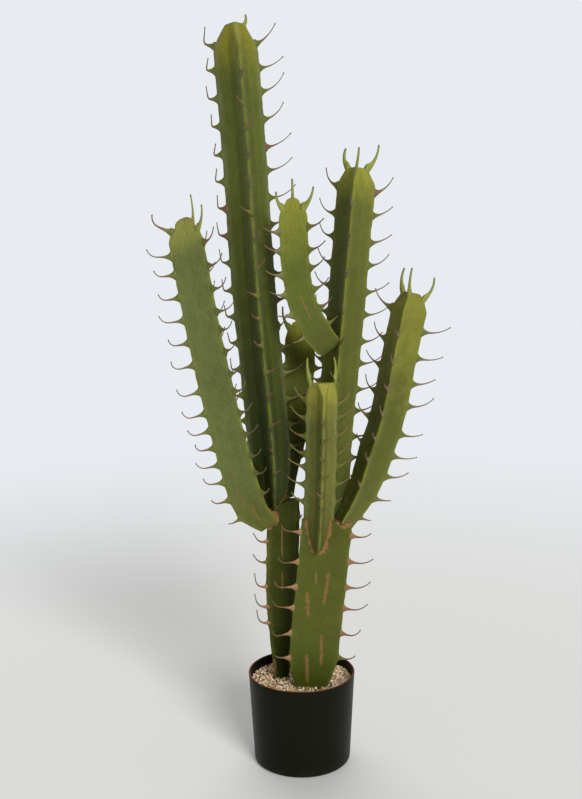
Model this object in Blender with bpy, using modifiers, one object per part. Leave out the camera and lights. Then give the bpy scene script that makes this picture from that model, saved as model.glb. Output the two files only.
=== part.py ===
"""A potted artificial cactus: two short trunks and seven three-ribbed stems, in a round pot of gravel.

Metres, +Z up, the origin at the centre of the pot's flat underside. The cactus is seen from -Y.
An azimuth is 0 towards -Y and grows towards +X, so that 90 is to the viewer's right.
"""

from dataclasses import dataclass

import bmesh
import bpy
import numpy as np

# The pot, and the gravel that fills it
POT_HEIGHT = 0.130
POT_RIM_RADIUS = 0.075
POT_FOOT_RADIUS = 0.068
POT_WALL = 0.0024
POT_FLOOR = 0.004
POT_EDGE = 0.0012
POT_SIDES = 48
GRAVEL_TOP = 0.115

# What touches keeps this much air between, because a mesh holds 32-bit numbers
GAP = 0.0003
GROWTH = 0.0006

# The heights at which the trunks are cut off, and the slope of the left one's cut, rising to the right
TRUNK_FOOT = GRAVEL_TOP + GAP
LEFT_CUT_HEIGHT = 0.377
LEFT_CUT_SLOPE = 0.36
RIGHT_CUT_HEIGHT = 0.360
RIGHT_CUT_SLOPE = -0.10

# A stem's cross-section: three ribs, each with a blunt edge, and a hollow between each two
RIBS = 3
EDGE_HALF_WIDTH = 0.0018
EDGE_DEPTH = 0.0022
EDGE_SHARE = 0.25
FLAT_VALLEY = 0.5

# A stem's length: how far apart its stations and rings are, and how its crown rounds in
STATION_STEP = 0.006
RING_STEP = 0.035
FOOT_RINGS = 5
FOOT_LIMIT = 0.6
CROWN_RINGS = (0, 0.35, 0.65, 0.88, 1)
CROWN_POWER = 1.5
DOME_SHARE = 0.72
CURVE_STEPS = 60
TINY = 1e-9

# A spine: a tall root that flares out of the rib, then a thin hook that turns up towards its tip
SPINE_SUNK = 0.005
SPINE_LENGTH = 0.037
SPINE_STEPS = 20
SPINE_RINGS = ((0.0, 0.0075, 0.0016), (0.24, 0.0026, 0.0014), (0.50, 0.0011, 0.0010), (0.78, 0.0009, 0.0008))
SPINE_UNDERSIDE = 0.8
SPINE_CLEARANCE = 0.0030
SPINE_TRIES = ((1.0, 0), (1.0, 28), (1.0, -28), (0.8, 48), (0.8, -48), (0.6, 10), (0.6, -40), (0.45, 0))
SPINE_SEED = 7
YOUNG_LENGTH = 0.024
RISE, RISE_SPREAD, CURL_SPREAD, SWAY_SPREAD = 4, 7, 16, 9
LENGTH_SPREAD = 0.10
SHARP_ANGLE = 35

# Spines are shorter and straighter near a stem's foot: their share right there, and the taper's length
FOOT_SHARE, FOOT_REACH = 0.25, 0.110

# Colours, linear, and how matt each kind of piece is
STEM_GREEN = (0.105, 0.135, 0.035)
TRUNK_GREEN = (0.085, 0.120, 0.030)
YOUNG_GREEN = (0.200, 0.235, 0.045)
POT_BLACK = (0.010, 0.011, 0.008)
GRAVEL_CREAM = (0.560, 0.450, 0.320)
STEM_ROUGHNESS, POT_ROUGHNESS, GRAVEL_ROUGHNESS = 0.5, 0.45, 0.8


@dataclass
class Rib:
    """The row of spines on one rib: their length as a share of the usual one, their places and their bend."""

    length: float
    tops: tuple
    spacing: float
    curl: float = 50
    bend: tuple = (0.05, 1.0)
    crest: float = 1.0
    tuck: tuple = (0.0, 0.01)
    sway: float = 1.0


@dataclass
class Stem:
    """One limb of the cactus, from the points that its axis runs through."""

    name: str
    path: tuple
    radius: float
    turn: float
    valley: float
    foot: tuple
    crown: tuple
    first: float
    ribs: tuple
    horn: tuple = (46, 98)
    colour: tuple = STEM_GREEN
    seat: str = ""
    cut_by: tuple = ()


# turn is the azimuth of the first rib, and valley the radius between two ribs as a share of the ribs' own.
# foot: the share of the radius there, the length over which the ribs swell, and the power of the swelling.
# crown: the share of the radius there, the length over which the ribs round in, and the height of its dome.
# first is the least height of a spine above the foot. On a rib, tops are the distances of its highest spines
# below the tip, and spacing is that of the rest. curl is the angle that a spine ends at, in degrees above
# straight out, and bend holds the shares of its length between which it turns there. crest is the highest
# spine's length as a share of the others', and sway the rib's spread to the sides as a share of the usual one.
# A rib with a tuck loses that share of its height over that length below the tip.
# horn holds the angles at which the spines round the tip start and end.
STEMS = (
    Stem(
        "trunk_left",
        (
            (-0.028, 0.004, TRUNK_FOOT),
            (-0.027, 0.001, 0.225),
            (-0.024, -0.001, 0.321),
            (-0.023, -0.001, 0.377),
        ),
        radius=0.0257,
        turn=180,
        valley=0.39,
        foot=(0.42, 0.170, 1.0),
        crown=(1.0, 0.0, 0.0),
        first=0.022,
        ribs=(
            Rib(0.90, (0.020, 0.052), 0.030),
            Rib(0.85, (0.0525, 0.084, 0.119, 0.146, 0.172), 0.200, curl=70, bend=(0.1, 0.7)),
            Rib(0.80, (0.020, 0.055), 0.034),
        ),
        colour=TRUNK_GREEN,
    ),
    Stem(
        "trunk_right",
        (
            (0.012, -0.021, TRUNK_FOOT),
            (0.020, -0.023, 0.204),
            (0.030, -0.024, 0.295),
            (0.036, -0.024, 0.360),
        ),
        radius=0.0400,
        turn=180,
        valley=0.50,
        foot=(0.60, 0.065, 1.0),
        crown=(1.0, 0.0, 0.0),
        first=0.030,
        ribs=(
            Rib(0.90, (0.022, 0.056), 0.034),
            Rib(0.95, (0.019, 0.060), 0.034, curl=80, bend=(0.55, 1.0)),
            Rib(1.00, (0.018, 0.053), 0.0345, curl=55, bend=(0.30, 1.0), crest=0.8),
        ),
        colour=TRUNK_GREEN,
    ),
    Stem(
        "stem_tall",
        (
            (-0.037, -0.004, 0.377),
            (-0.041, 0.0, 0.472),
            (-0.057, 0.0, 0.669),
            (-0.067, 0.0, 0.857),
            (-0.0775, 0.0, 1.0106),
        ),
        radius=0.0342,
        turn=7,
        valley=0.36,
        foot=(0.60, 0.055, 1.0),
        crown=(0.44, 0.034, 0.003),
        first=0.030,
        ribs=(
            Rib(0.62, (0.0646,), 0.035, tuck=(0.25, 0.030), sway=6),
            Rib(1.22, (0.001, 0.0226, 0.0516), 0.0342, crest=0.30),
            Rib(0.75, (0.0231, 0.0556), 0.0357, curl=95, bend=(0.35, 0.50), crest=1.2),
        ),
        seat="trunk_left",
    ),
    Stem(
        "stem_back",
        (
            (-0.017, 0.015, 0.383),
            (-0.016, 0.031, 0.420),
            (-0.010, 0.039, 0.465),
            (0.001, 0.047, 0.545),
            (0.003, 0.051, 0.618),
        ),
        radius=0.0240,
        turn=180,
        valley=0.40,
        foot=(0.42, 0.100, 1.0),
        crown=(0.50, 0.022, 0.004),
        first=0.045,
        ribs=(
            Rib(0.90, (0.004, 0.032), 0.029),
            Rib(0.85, (0.006, 0.034), 0.029),
            Rib(0.85, (0.005, 0.033), 0.029),
        ),
        seat="trunk_left",
        cut_by=("stem_tall",),
    ),
    Stem(
        "stem_right",
        (
            (0.041, -0.010, 0.360),
            (0.046, -0.003, 0.461),
            (0.0625, 0.0, 0.629),
            (0.072, 0.0, 0.738),
            (0.080, 0.0, 0.827),
        ),
        radius=0.0294,
        turn=-8,
        valley=0.42,
        foot=(0.90, 0.030, 1.0),
        crown=(0.50, 0.024, 0.0015),
        first=0.032,
        ribs=(
            Rib(0.62, (0.004, 0.050), 0.045, crest=1.5, sway=3),
            Rib(1.00, (0.003, 0.028), 0.033, curl=45),
            Rib(0.95, (0.003, 0.027), 0.033, curl=72, bend=(0.15, 0.80), crest=0.75),
        ),
        seat="trunk_right",
    ),
    Stem(
        "arm_left",
        (
            (-0.040, -0.015, 0.350),
            (-0.065, -0.0195, 0.384),
            (-0.089, -0.022, 0.471),
            (-0.1175, -0.025, 0.606),
            (-0.1424, -0.0297, 0.7556),
        ),
        radius=0.0288,
        turn=160,
        valley=0.46,
        foot=(0.62, 0.050, 1.0),
        crown=(0.57, 0.020, 0.011),
        first=0.028,
        ribs=(
            Rib(0.95, (0.001, 0.0326), 0.031, crest=1.2),
            Rib(
                0.92,
                (0.0086, 0.0341, 0.0616, 0.0935, 0.1222, 0.1515, 0.1826, 0.219, 0.2465),
                0.0243,
                curl=85,
                bend=(0.50, 0.95),
                crest=1.2,
            ),
            Rib(1.00, (0.0045, 0.0266), 0.0285, curl=55, bend=(0.20, 1.0)),
        ),
        horn=(75, 98),
        cut_by=("trunk_left", "stem_tall"),
    ),
    Stem(
        "arm_front",
        ((0.0235, -0.0455, 0.319), (0.026, -0.050, 0.370), (0.029, -0.051, 0.444), (0.0315, -0.051, 0.548)),
        radius=0.0238,
        turn=2,
        valley=0.30,
        foot=(0.40, 0.040, 0.60),
        crown=(0.75, 0.018, 0.0015),
        first=0.030,
        ribs=(
            Rib(0.50, (0.048,), 0.0235, tuck=(0.60, 0.016), sway=4),
            Rib(0.80, (0.002, 0.028), 0.022, crest=1.2),
            Rib(0.80, (0.002, 0.027), 0.0225, crest=1.2),
        ),
        horn=(72, 106),
        colour=YOUNG_GREEN,
        cut_by=("trunk_right", "stem_right"),
    ),
    Stem(
        "arm_right",
        (
            (0.058, -0.036, 0.354),
            (0.083, -0.030, 0.398),
            (0.099, -0.025, 0.443),
            (0.1175, -0.020, 0.500),
            (0.1345, -0.020, 0.589),
            (0.150, -0.020, 0.663),
        ),
        radius=0.0278,
        turn=-16,
        valley=0.43,
        foot=(0.55, 0.110, 1.0),
        crown=(0.50, 0.024, 0.0015),
        first=0.012,
        ribs=(
            Rib(0.75, (0.003, 0.052), 0.036, crest=1.3),
            Rib(1.00, (0.004, 0.047, 0.086, 0.121, 0.153), 0.031, curl=42, bend=(0.25, 1.0), crest=0.9),
            Rib(0.90, (0.003, 0.027), 0.037, curl=65, crest=0.9),
        ),
        horn=(60, 108),
        cut_by=("trunk_right", "stem_right"),
    ),
    Stem(
        "arm_upper",
        (
            (0.0435, -0.016, 0.590),
            (0.024, -0.026, 0.617),
            (0.005, -0.0285, 0.657),
            (-0.003, -0.031, 0.710),
            (-0.0053, -0.0347, 0.7826),
        ),
        radius=0.0214,
        turn=180,
        valley=0.50,
        foot=(0.55, 0.014, 0.6),
        crown=(0.50, 0.018, 0.007),
        first=0.020,
        ribs=(
            Rib(0.75, (0.001, 0.0226), 0.027, crest=1.15),
            Rib(0.72, (0.0046, 0.0366), 0.026),
            Rib(0.78, (0.0036, 0.0306), 0.028, crest=1.2),
        ),
        horn=(56, 100),
        colour=YOUNG_GREEN,
        cut_by=("stem_right",),
    ),
)
CUT_PLANES = {
    "trunk_left": (LEFT_CUT_HEIGHT, LEFT_CUT_SLOPE),
    "trunk_right": (RIGHT_CUT_HEIGHT, RIGHT_CUT_SLOPE),
}


def unit(vectors):
    return vectors / np.linalg.norm(vectors, axis=-1, keepdims=True)


def smooth_curve(points, step):
    """A Catmull-Rom curve through the points, as places an even step apart."""
    knots = np.array(points)
    ends = np.vstack([2 * knots[0] - knots[1], knots, 2 * knots[-1] - knots[-2]])
    pieces = []
    for p0, p1, p2, p3 in zip(ends[:-3], ends[1:-2], ends[2:-1], ends[3:]):
        t = np.linspace(0, 1, CURVE_STEPS, endpoint=False)[:, None]
        square = 2 * p0 - 5 * p1 + 4 * p2 - p3
        cube = 3 * p1 - p0 - 3 * p2 + p3
        pieces.append(0.5 * (2 * p1 + (p2 - p0) * t + square * t**2 + cube * t**3))
    dense = np.vstack([*pieces, knots[-1]])
    along = np.concatenate([[0], np.cumsum(np.linalg.norm(np.diff(dense, axis=0), axis=1))])
    places = np.linspace(0, along[-1], max(3, round(along[-1] / step) + 1))
    return np.column_stack([np.interp(places, along, dense[:, axis]) for axis in range(3)]), places


def frames(stem, step):
    """The axis of a stem at even places: points, tangents, fronts, rights, lengths and rib radii."""
    axis, along = smooth_curve(stem.path, step)
    tangent = unit(np.gradient(axis, along, axis=0))
    front = np.array([0.0, -1.0, 0.0])
    front = unit(front - (tangent @ front)[:, None] * tangent)
    right = np.cross(tangent, front)
    return axis, tangent, front, right, along, rib_radius(stem, along)


def rib_radius(stem, along):
    """The distance from axis to rib edge: it swells from the foot as a sine and rounds in at the crown."""
    foot_share, foot_length, foot_power = stem.foot
    crown_share, crown_length, _ = stem.crown
    swell = np.sin(np.pi / 2 * np.clip(along / foot_length, 0, 1)) ** foot_power
    into = np.clip((along - along[-1] + crown_length) / max(crown_length, TINY), 0, 1)
    return stem.radius * (foot_share + (1 - foot_share) * swell) * (1 - (1 - crown_share) * into**CROWN_POWER)


def ring(stem, radius, below):
    """One closed cross-section in polar form: (radius, azimuth) of each corner, rib after rib.

    below is its distance below the tip. Near the crown the valleys fill up, and a tucked rib is sliced off.
    """
    into = np.clip(1 - below / stem.crown[1], 0, 1) if stem.crown[1] else 0
    valley = (stem.valley + (FLAT_VALLEY - stem.valley) * into**2) * radius
    half = min(EDGE_HALF_WIDTH, EDGE_SHARE * radius)
    shoulder = radius - min(EDGE_DEPTH, EDGE_SHARE * radius)
    slope = (valley * np.sin(np.pi / RIBS) - half) / (shoulder - valley * np.cos(np.pi / RIBS))
    corners = []
    for number, rib in enumerate(stem.ribs):
        share, length = rib.tuck
        azimuth = np.radians(stem.turn + 360 / RIBS * number)
        crest = radius * (1 - share * np.clip(1 - below / length, 0, 1))
        low = min(shoulder, crest)
        width = half + (shoulder - low) * slope
        corners.append((np.hypot(low, width), azimuth - np.arctan2(width, low)))
        corners.append((crest, azimuth))
        corners.append((np.hypot(low, width), azimuth + np.arctan2(width, low)))
        corners.append((valley, azimuth + np.pi / RIBS))
    return np.array(corners)


def onto_plane(points, along, plane, lift):
    """The points moved along one direction onto a plane that slopes in X, or lift above it."""
    height, slope = plane
    target = height + slope * points[:, 0] + lift * np.hypot(1, slope)
    fall = along[2] - slope * along[0]
    return points + ((target - points[:, 2]) / fall)[:, None] * along


def plane_of(name):
    """(height at x = 0, slope) of a trunk's cut, from the height where its axis meets it."""
    height, slope = CUT_PLANES[name]
    top = next(stem for stem in STEMS if stem.name == name).path[-1]
    return height - slope * top[0], slope


def ring_places(stem, along):
    """Where the rings go: close together where the foot swells and the crown rounds in, wide between."""
    length = along[-1]
    swelling = min(stem.foot[1], FOOT_LIMIT * length) * np.linspace(0, 1, FOOT_RINGS) ** 2
    rounding = np.array([length])
    if stem.crown[1]:
        rounding = length - stem.crown[1] * (1 - np.array(CROWN_RINGS))
    count = max(2, round((rounding[0] - swelling[-1]) / RING_STEP) + 1)
    return np.concatenate([swelling, np.linspace(swelling[-1], rounding[0], count)[1:-1], rounding])


def at_place(place, along, values):
    """The values, points or directions, at one place along the stem."""
    return np.array([np.interp(place, along, values[:, i]) for i in range(3)])


def new_object(name, mesh, collection):
    obj = bpy.data.objects.new(name, mesh)
    collection.objects.link(obj)
    return obj


def loft(name, rings, ends, collection):
    """A closed skin over rings of the same count of corners, closed by fans round a point at each end."""
    bm = bmesh.new()
    rows = [[bm.verts.new(corner) for corner in corners] for corners in rings]
    for low, high in zip(rows[:-1], rows[1:]):
        for i in range(len(low)):
            j = (i + 1) % len(low)
            bm.faces.new((low[i], low[j], high[j], high[i]))
    for row, end in ((rows[0], ends[0]), (rows[-1], ends[1])):
        middle = bm.verts.new(end)
        for i in range(len(row)):
            bm.faces.new((row[i], row[(i + 1) % len(row)], middle))
    bmesh.ops.triangulate(bm, faces=bm.faces)
    bmesh.ops.recalc_face_normals(bm, faces=bm.faces)
    mesh = bpy.data.meshes.new(name)
    bm.to_mesh(mesh)
    bm.free()
    return new_object(name, mesh, collection)


def stem_body(stem, collection):
    """The ribbed body of a stem, its ends laid on the plane that it is cut by or sits on."""
    axis, tangent, front, right, along, _ = frames(stem, STATION_STEP)
    places = ring_places(stem, along)
    rings = []
    for place, radius in zip(places, rib_radius(stem, places)):
        ahead = at_place(place, along, front)
        aside = at_place(place, along, right)
        reach, azimuth = ring(stem, radius, along[-1] - place).T[..., None]
        ways = np.cos(azimuth) * ahead + np.sin(azimuth) * aside
        rings.append(at_place(place, along, axis) + reach * ways)
    peak = axis[-1] + stem.crown[2] * tangent[-1]
    if stem.crown[2]:
        lift = stem.crown[2] * np.sqrt(1 - DOME_SHARE**2) * tangent[-1]
        rings.append(axis[-1] + DOME_SHARE * (rings[-1] - axis[-1]) + lift)
    if stem.seat:
        rings[0] = onto_plane(rings[0], tangent[0], plane_of(stem.seat), GAP)
    if stem.name in CUT_PLANES:
        rings[-1] = onto_plane(rings[-1], tangent[-1], plane_of(stem.name), 0)
        rings[0][:, 2] = TRUNK_FOOT
        peak = rings[-1].mean(axis=0)
    return loft(stem.name, rings, (rings[0].mean(axis=0), peak), collection)


def rim(stem, azimuth):
    """The body's outline in polar form, as a share of the rib radius: straight lines from ribs to valleys."""
    spread = 2 * np.pi / RIBS
    off = np.abs((azimuth - np.radians(stem.turn) + spread / 2) % spread - spread / 2)
    depth = stem.valley * np.sin(spread / 2)
    return depth / (depth * np.cos(off) + (1 - stem.valley * np.cos(spread / 2)) * np.sin(off))


def touches(points, stem, stations, margin):
    """Whether any of the points lies inside a stem's body or within the margin of it."""
    axis, tangent, front, right, _, radius = stations
    apart = points[:, None] - axis[None]
    nearest = np.argmin(np.linalg.norm(apart, axis=2), axis=1)
    off = apart[np.arange(len(points)), nearest]
    x = np.einsum("ij,ij->i", off, right[nearest])
    y = np.einsum("ij,ij->i", off, front[nearest])
    past = np.abs(np.einsum("ij,ij->i", off, tangent[nearest]))
    limit = rim(stem, np.arctan2(x, y)) * radius[nearest] + EDGE_HALF_WIDTH + margin
    return bool(((np.hypot(x, y) < limit) & (past < STATION_STEP + margin)).any())


def hook(root, level, upward, length, angles, bend):
    """A spine's line: it leaves at the first angle over level, and turns to the second within its bend."""
    share = np.clip((np.linspace(0, 1, SPINE_STEPS) - bend[0]) / (bend[1] - bend[0]), 0, 1)
    angle = np.radians(angles[0] + (angles[1] - angles[0]) * share)[:, None]
    ways = np.cos(angle) * level + np.sin(angle) * upward
    steps = (ways[1:] + ways[:-1]) / 2 * length / (SPINE_STEPS - 1)
    return root + np.vstack([np.zeros(3), np.cumsum(steps, axis=0)])


def spine_places(stem, rib, length):
    """The places of a rib's spines along the stem, from the highest down."""
    row = np.arange(length - rib.tops[-1] - rib.spacing, stem.first, -rib.spacing)
    return np.concatenate([length - np.array(rib.tops), row])


def is_free(line, stem, stations, taken):
    """Whether a spine's line keeps clear of the other stems, of the spines so far and of the gravel."""
    others = [other for other in STEMS if other is not stem]
    if any(touches(line, other, stations[other.name], SPINE_CLEARANCE) for other in others):
        return False
    if len(taken) and np.linalg.norm(line[:, None] - taken[None], axis=2).min() < SPINE_CLEARANCE:
        return False
    return line[:, 2].min() > GRAVEL_TOP + SPINE_CLEARANCE


def spine_lines(stations):
    """Every spine of every stem, by name of stem: lines that touch no other stem and no other spine."""
    rng = np.random.default_rng(SPINE_SEED)
    taken = np.empty((0, 3))
    lines = {stem.name: [] for stem in STEMS}
    for stem in STEMS:
        axis, tangent, front, right, along, radius = stations[stem.name]
        for number, rib in enumerate(stem.ribs):
            azimuth = np.radians(stem.turn + 360 / RIBS * number)
            for order, place in enumerate(spine_places(stem, rib, along[-1])):
                rise, curl, sway, stretch = rng.uniform(-1, 1, 4)
                below = along[-1] + stem.crown[2] - place
                young = np.exp(-((below / YOUNG_LENGTH) ** 2)) if stem.crown[1] else 0
                i = int(np.argmin(np.abs(along - place)))
                outward = np.cos(azimuth) * front[i] + np.sin(azimuth) * right[i]
                aside = -np.sin(azimuth) * front[i] + np.cos(azimuth) * right[i]
                root = axis[i] + radius[i] * outward
                settled = min(1, FOOT_SHARE + place / FOOT_REACH)
                share = rib.length * settled * (1 if order else rib.crest)
                length = SPINE_LENGTH * share * (1 + LENGTH_SPREAD * stretch)
                rise = RISE + RISE_SPREAD * rise + (stem.horn[0] - RISE) * young
                curl = rib.curl * settled + CURL_SPREAD * curl + (stem.horn[1] - rib.curl) * young
                for shorter, turned in SPINE_TRIES:
                    turn = np.radians(SWAY_SPREAD * rib.sway * sway + turned)
                    level = np.cos(turn) * outward + np.sin(turn) * aside
                    across = np.cos(turn) * aside - np.sin(turn) * outward
                    line = hook(root, level, tangent[i], length * shorter, (rise, curl), rib.bend)
                    if is_free(line, stem, stations, taken):
                        taken = np.vstack([taken, line])
                        lines[stem.name].append((line, across))
                        break
    return lines


def spine(name, line, aside, collection):
    """One spine: triangles that shrink along its line, the first sunk in the rib, closed by a point."""
    path = np.vstack([line[0] - SPINE_SUNK * unit(line[1] - line[0]), line])
    along = np.concatenate([[0], np.cumsum(np.linalg.norm(np.diff(path, axis=0), axis=1))])
    ways = unit(np.gradient(path, along, axis=0))
    bm = bmesh.new()
    rows = []
    for share, tall, wide in SPINE_RINGS:
        place = share * along[-1]
        centre = at_place(place, along, path)
        way = at_place(place, along, ways)
        over = unit(np.cross(way, aside))
        under = -SPINE_UNDERSIDE * tall * over
        corners = (tall * over, under + wide * aside, under - wide * aside)
        rows.append([bm.verts.new(centre + corner) for corner in corners])
    bm.faces.new(rows[0])
    for low, high in zip(rows[:-1], rows[1:]):
        for i in range(3):
            j = (i + 1) % 3
            bm.faces.new((low[i], low[j], high[j], high[i]))
    tip = bm.verts.new(path[-1])
    for i in range(3):
        bm.faces.new((rows[-1][i], rows[-1][(i + 1) % 3], tip))
    bmesh.ops.triangulate(bm, faces=bm.faces)
    bmesh.ops.recalc_face_normals(bm, faces=bm.faces)
    mesh = bpy.data.meshes.new(name)
    bm.to_mesh(mesh)
    bm.free()
    return new_object(name, mesh, collection)


def apply_modifiers(obj):
    """The object's mesh becomes what its modifiers make of it."""
    graph = bpy.context.evaluated_depsgraph_get()
    made = bpy.data.meshes.new_from_object(obj.evaluated_get(graph))
    old = obj.data
    obj.modifiers.clear()
    obj.data = made
    made.name = obj.name
    bpy.data.meshes.remove(old)


def drop_scraps(obj):
    """Only the largest connected piece of the mesh is kept."""
    bm = bmesh.new()
    bm.from_mesh(obj.data)
    unseen = set(bm.verts)
    pieces = []
    while unseen:
        piece, edge = set(), [next(iter(unseen))]
        while edge:
            vert = edge.pop()
            if vert in piece:
                continue
            piece.add(vert)
            edge.extend(link.other_vert(vert) for link in vert.link_edges)
        unseen -= piece
        pieces.append(piece)
    pieces.sort(key=len)
    for piece in pieces[:-1]:
        bmesh.ops.delete(bm, geom=list(piece), context="VERTS")
    bm.to_mesh(obj.data)
    bm.free()


def trim(obj, neighbour, helpers):
    """Takes a slightly grown copy of the neighbour away from the object, so that the two fit snugly."""
    cutter = new_object(neighbour.name + "_grown", neighbour.data.copy(), helpers)
    cutter.hide_render = True
    cutter.display_type = "WIRE"
    grown = cutter.modifiers.new("grown", "DISPLACE")
    grown.direction = "NORMAL"
    grown.mid_level = 0
    grown.strength = GROWTH
    cut = obj.modifiers.new("fit to " + neighbour.name, "BOOLEAN")
    cut.operation = "DIFFERENCE"
    cut.object = cutter
    apply_modifiers(obj)
    bpy.data.objects.remove(cutter)
    drop_scraps(obj)


def grow_spines(obj, lines, helpers):
    """Joins a stem's spines to it with one union on a collection."""
    bunch = bpy.data.collections.new(obj.name + "_spines")
    helpers.children.link(bunch)
    for number, (line, aside) in enumerate(lines):
        spine(f"{obj.name}_spine_{number:02d}", line, aside, bunch)
    union = obj.modifiers.new("spines", "BOOLEAN")
    union.operation = "UNION"
    union.operand_type = "COLLECTION"
    union.collection = bunch
    union.solver = "EXACT"
    apply_modifiers(obj)
    for helper in list(bunch.objects):
        bpy.data.objects.remove(helper)
    bpy.data.collections.remove(bunch)


def turned(name, profile, collection):
    """A shape turned about Z from (radius, height) points that run down its outer side."""
    mesh = bpy.data.meshes.new(name)
    edges = [(i, i + 1) for i in range(len(profile) - 1)]
    mesh.from_pydata([(radius, 0.0, height) for radius, height in profile], edges, [])
    obj = new_object(name, mesh, collection)
    screw = obj.modifiers.new("turned", "SCREW")
    screw.steps = screw.render_steps = POT_SIDES
    screw.use_merge_vertices = True
    screw.merge_threshold = 0.00001
    return obj


def pot_radius(height):
    return POT_FOOT_RADIUS + (POT_RIM_RADIUS - POT_FOOT_RADIUS) * height / POT_HEIGHT


def make_pot(collection):
    """A thin tapered shell with a flat underside and a rounded rim."""
    inner_floor = pot_radius(POT_FLOOR) - POT_WALL
    inner_rim = POT_RIM_RADIUS - POT_WALL
    profile = [
        (0, POT_FLOOR),
        (inner_floor, POT_FLOOR),
        (inner_rim, POT_HEIGHT - POT_EDGE / 2),
        (inner_rim + POT_EDGE / 2, POT_HEIGHT),
        (POT_RIM_RADIUS - POT_EDGE / 2, POT_HEIGHT),
        (POT_RIM_RADIUS, POT_HEIGHT - POT_EDGE / 2),
        (pot_radius(POT_EDGE), POT_EDGE),
        (POT_FOOT_RADIUS - POT_EDGE, 0),
        (0, 0),
    ]
    return turned("pot", profile, collection)


def make_gravel(collection):
    """The gravel bed: it fills the pot to a little below the rim."""
    top_radius = pot_radius(GRAVEL_TOP) - POT_WALL - GAP
    foot_radius = pot_radius(POT_FLOOR) - POT_WALL - GAP
    low = POT_FLOOR + GAP
    profile = [(0, GRAVEL_TOP), (top_radius, GRAVEL_TOP), (foot_radius, low), (0, low)]
    return turned("gravel_bed", profile, collection)


def paint(obj, colour, roughness):
    """Gives the object a material of its own."""
    material = bpy.data.materials.new(obj.name)
    material.use_nodes = True
    shader = material.node_tree.nodes["Principled BSDF"]
    shader.inputs["Base Color"].default_value = (*colour, 1)
    shader.inputs["Roughness"].default_value = roughness
    shader.inputs["Metallic"].default_value = 0
    obj.data.materials.clear()
    obj.data.materials.append(material)


def clear_scene():
    for obj in list(bpy.data.objects):
        bpy.data.objects.remove(obj)


def main():
    clear_scene()
    cactus = bpy.data.collections.new("potted_cactus")
    helpers = bpy.data.collections.new("cutters")
    bpy.context.scene.collection.children.link(cactus)
    bpy.context.scene.collection.children.link(helpers)
    paint(make_pot(cactus), POT_BLACK, POT_ROUGHNESS)
    paint(make_gravel(cactus), GRAVEL_CREAM, GRAVEL_ROUGHNESS)
    stations = {stem.name: frames(stem, STATION_STEP) for stem in STEMS}
    lines = spine_lines(stations)
    bodies = {}
    for stem in STEMS:
        body = stem_body(stem, cactus)
        for neighbour in stem.cut_by:
            trim(body, bodies[neighbour], helpers)
        bodies[stem.name] = body
    for stem in STEMS:
        grow_spines(bodies[stem.name], lines[stem.name], helpers)
        bodies[stem.name].data.shade_smooth()
        bodies[stem.name].data.set_sharp_from_angle(angle=np.radians(SHARP_ANGLE))
        paint(bodies[stem.name], stem.colour, STEM_ROUGHNESS)


main()
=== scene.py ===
# %% [markdown]
# # A potted artificial cactus
#
# The real thing is a shop plant a metre tall: hollow stems of soft plastic, each with three ribs and a row
# of hooked spines on every rib, glued together on two short trunks that stand in a pot of gravel. The solids
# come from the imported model. This file makes what the eye sees: skins with relief and paint, thin spines,
# loose pebbles and a moulded pot. All lengths are metres, +Z is up, and the viewer stands at -Y.

import math
from dataclasses import dataclass

import bpy
import numpy as np
from mathutils import Matrix, Vector


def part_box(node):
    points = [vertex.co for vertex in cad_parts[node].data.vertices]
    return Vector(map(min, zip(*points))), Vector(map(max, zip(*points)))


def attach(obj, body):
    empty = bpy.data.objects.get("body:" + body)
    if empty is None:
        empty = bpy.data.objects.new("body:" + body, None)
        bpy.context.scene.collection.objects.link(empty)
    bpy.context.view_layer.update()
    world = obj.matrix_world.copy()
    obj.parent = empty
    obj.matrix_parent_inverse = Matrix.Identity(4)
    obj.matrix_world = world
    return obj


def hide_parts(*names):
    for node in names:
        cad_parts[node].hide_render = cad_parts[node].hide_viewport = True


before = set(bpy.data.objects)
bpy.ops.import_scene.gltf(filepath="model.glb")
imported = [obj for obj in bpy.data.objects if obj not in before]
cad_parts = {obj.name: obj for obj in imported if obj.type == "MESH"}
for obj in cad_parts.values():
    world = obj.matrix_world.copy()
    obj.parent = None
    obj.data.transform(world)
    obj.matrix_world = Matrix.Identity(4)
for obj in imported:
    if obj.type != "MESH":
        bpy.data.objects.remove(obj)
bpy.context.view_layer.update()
print("nodes:", ", ".join(sorted(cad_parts)))

# %% [markdown]
# ## The camera
#
# The photograph was taken a metre and a half away, from three quarters of the plant's height, looking a
# little down. The place, the tilt and the lens were found by laying the pot's ellipse and sides over the
# photograph. The lens is stated through the picture's height, so it holds at any size of the render.

# %% The camera
PICTURE_HEIGHT = 799
FOCAL_PIXELS = 1100
SENSOR_HEIGHT = 36.0
CAMERA_PLACE = (-0.0104, -1.479, 0.764)
CAMERA_DOWN = math.radians(9.39)
CAMERA_ROLL = math.radians(-0.69)


def make_camera():
    """A camera that looks along +Y, tilted down and then rolled about its own line of sight."""
    data = bpy.data.cameras.new("camera")
    data.sensor_fit = "VERTICAL"
    data.sensor_height = SENSOR_HEIGHT
    data.lens = FOCAL_PIXELS / PICTURE_HEIGHT * SENSOR_HEIGHT
    camera = bpy.data.objects.new("camera", data)
    tilt = Matrix.Rotation(math.pi / 2 - CAMERA_DOWN, 4, "X")
    camera.matrix_world = Matrix.Translation(CAMERA_PLACE) @ tilt @ Matrix.Rotation(CAMERA_ROLL, 4, "Z")
    bpy.context.scene.collection.objects.link(camera)
    bpy.context.scene.camera = camera
    return camera


print("lens, mm:", round(make_camera().data.lens, 1))

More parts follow.
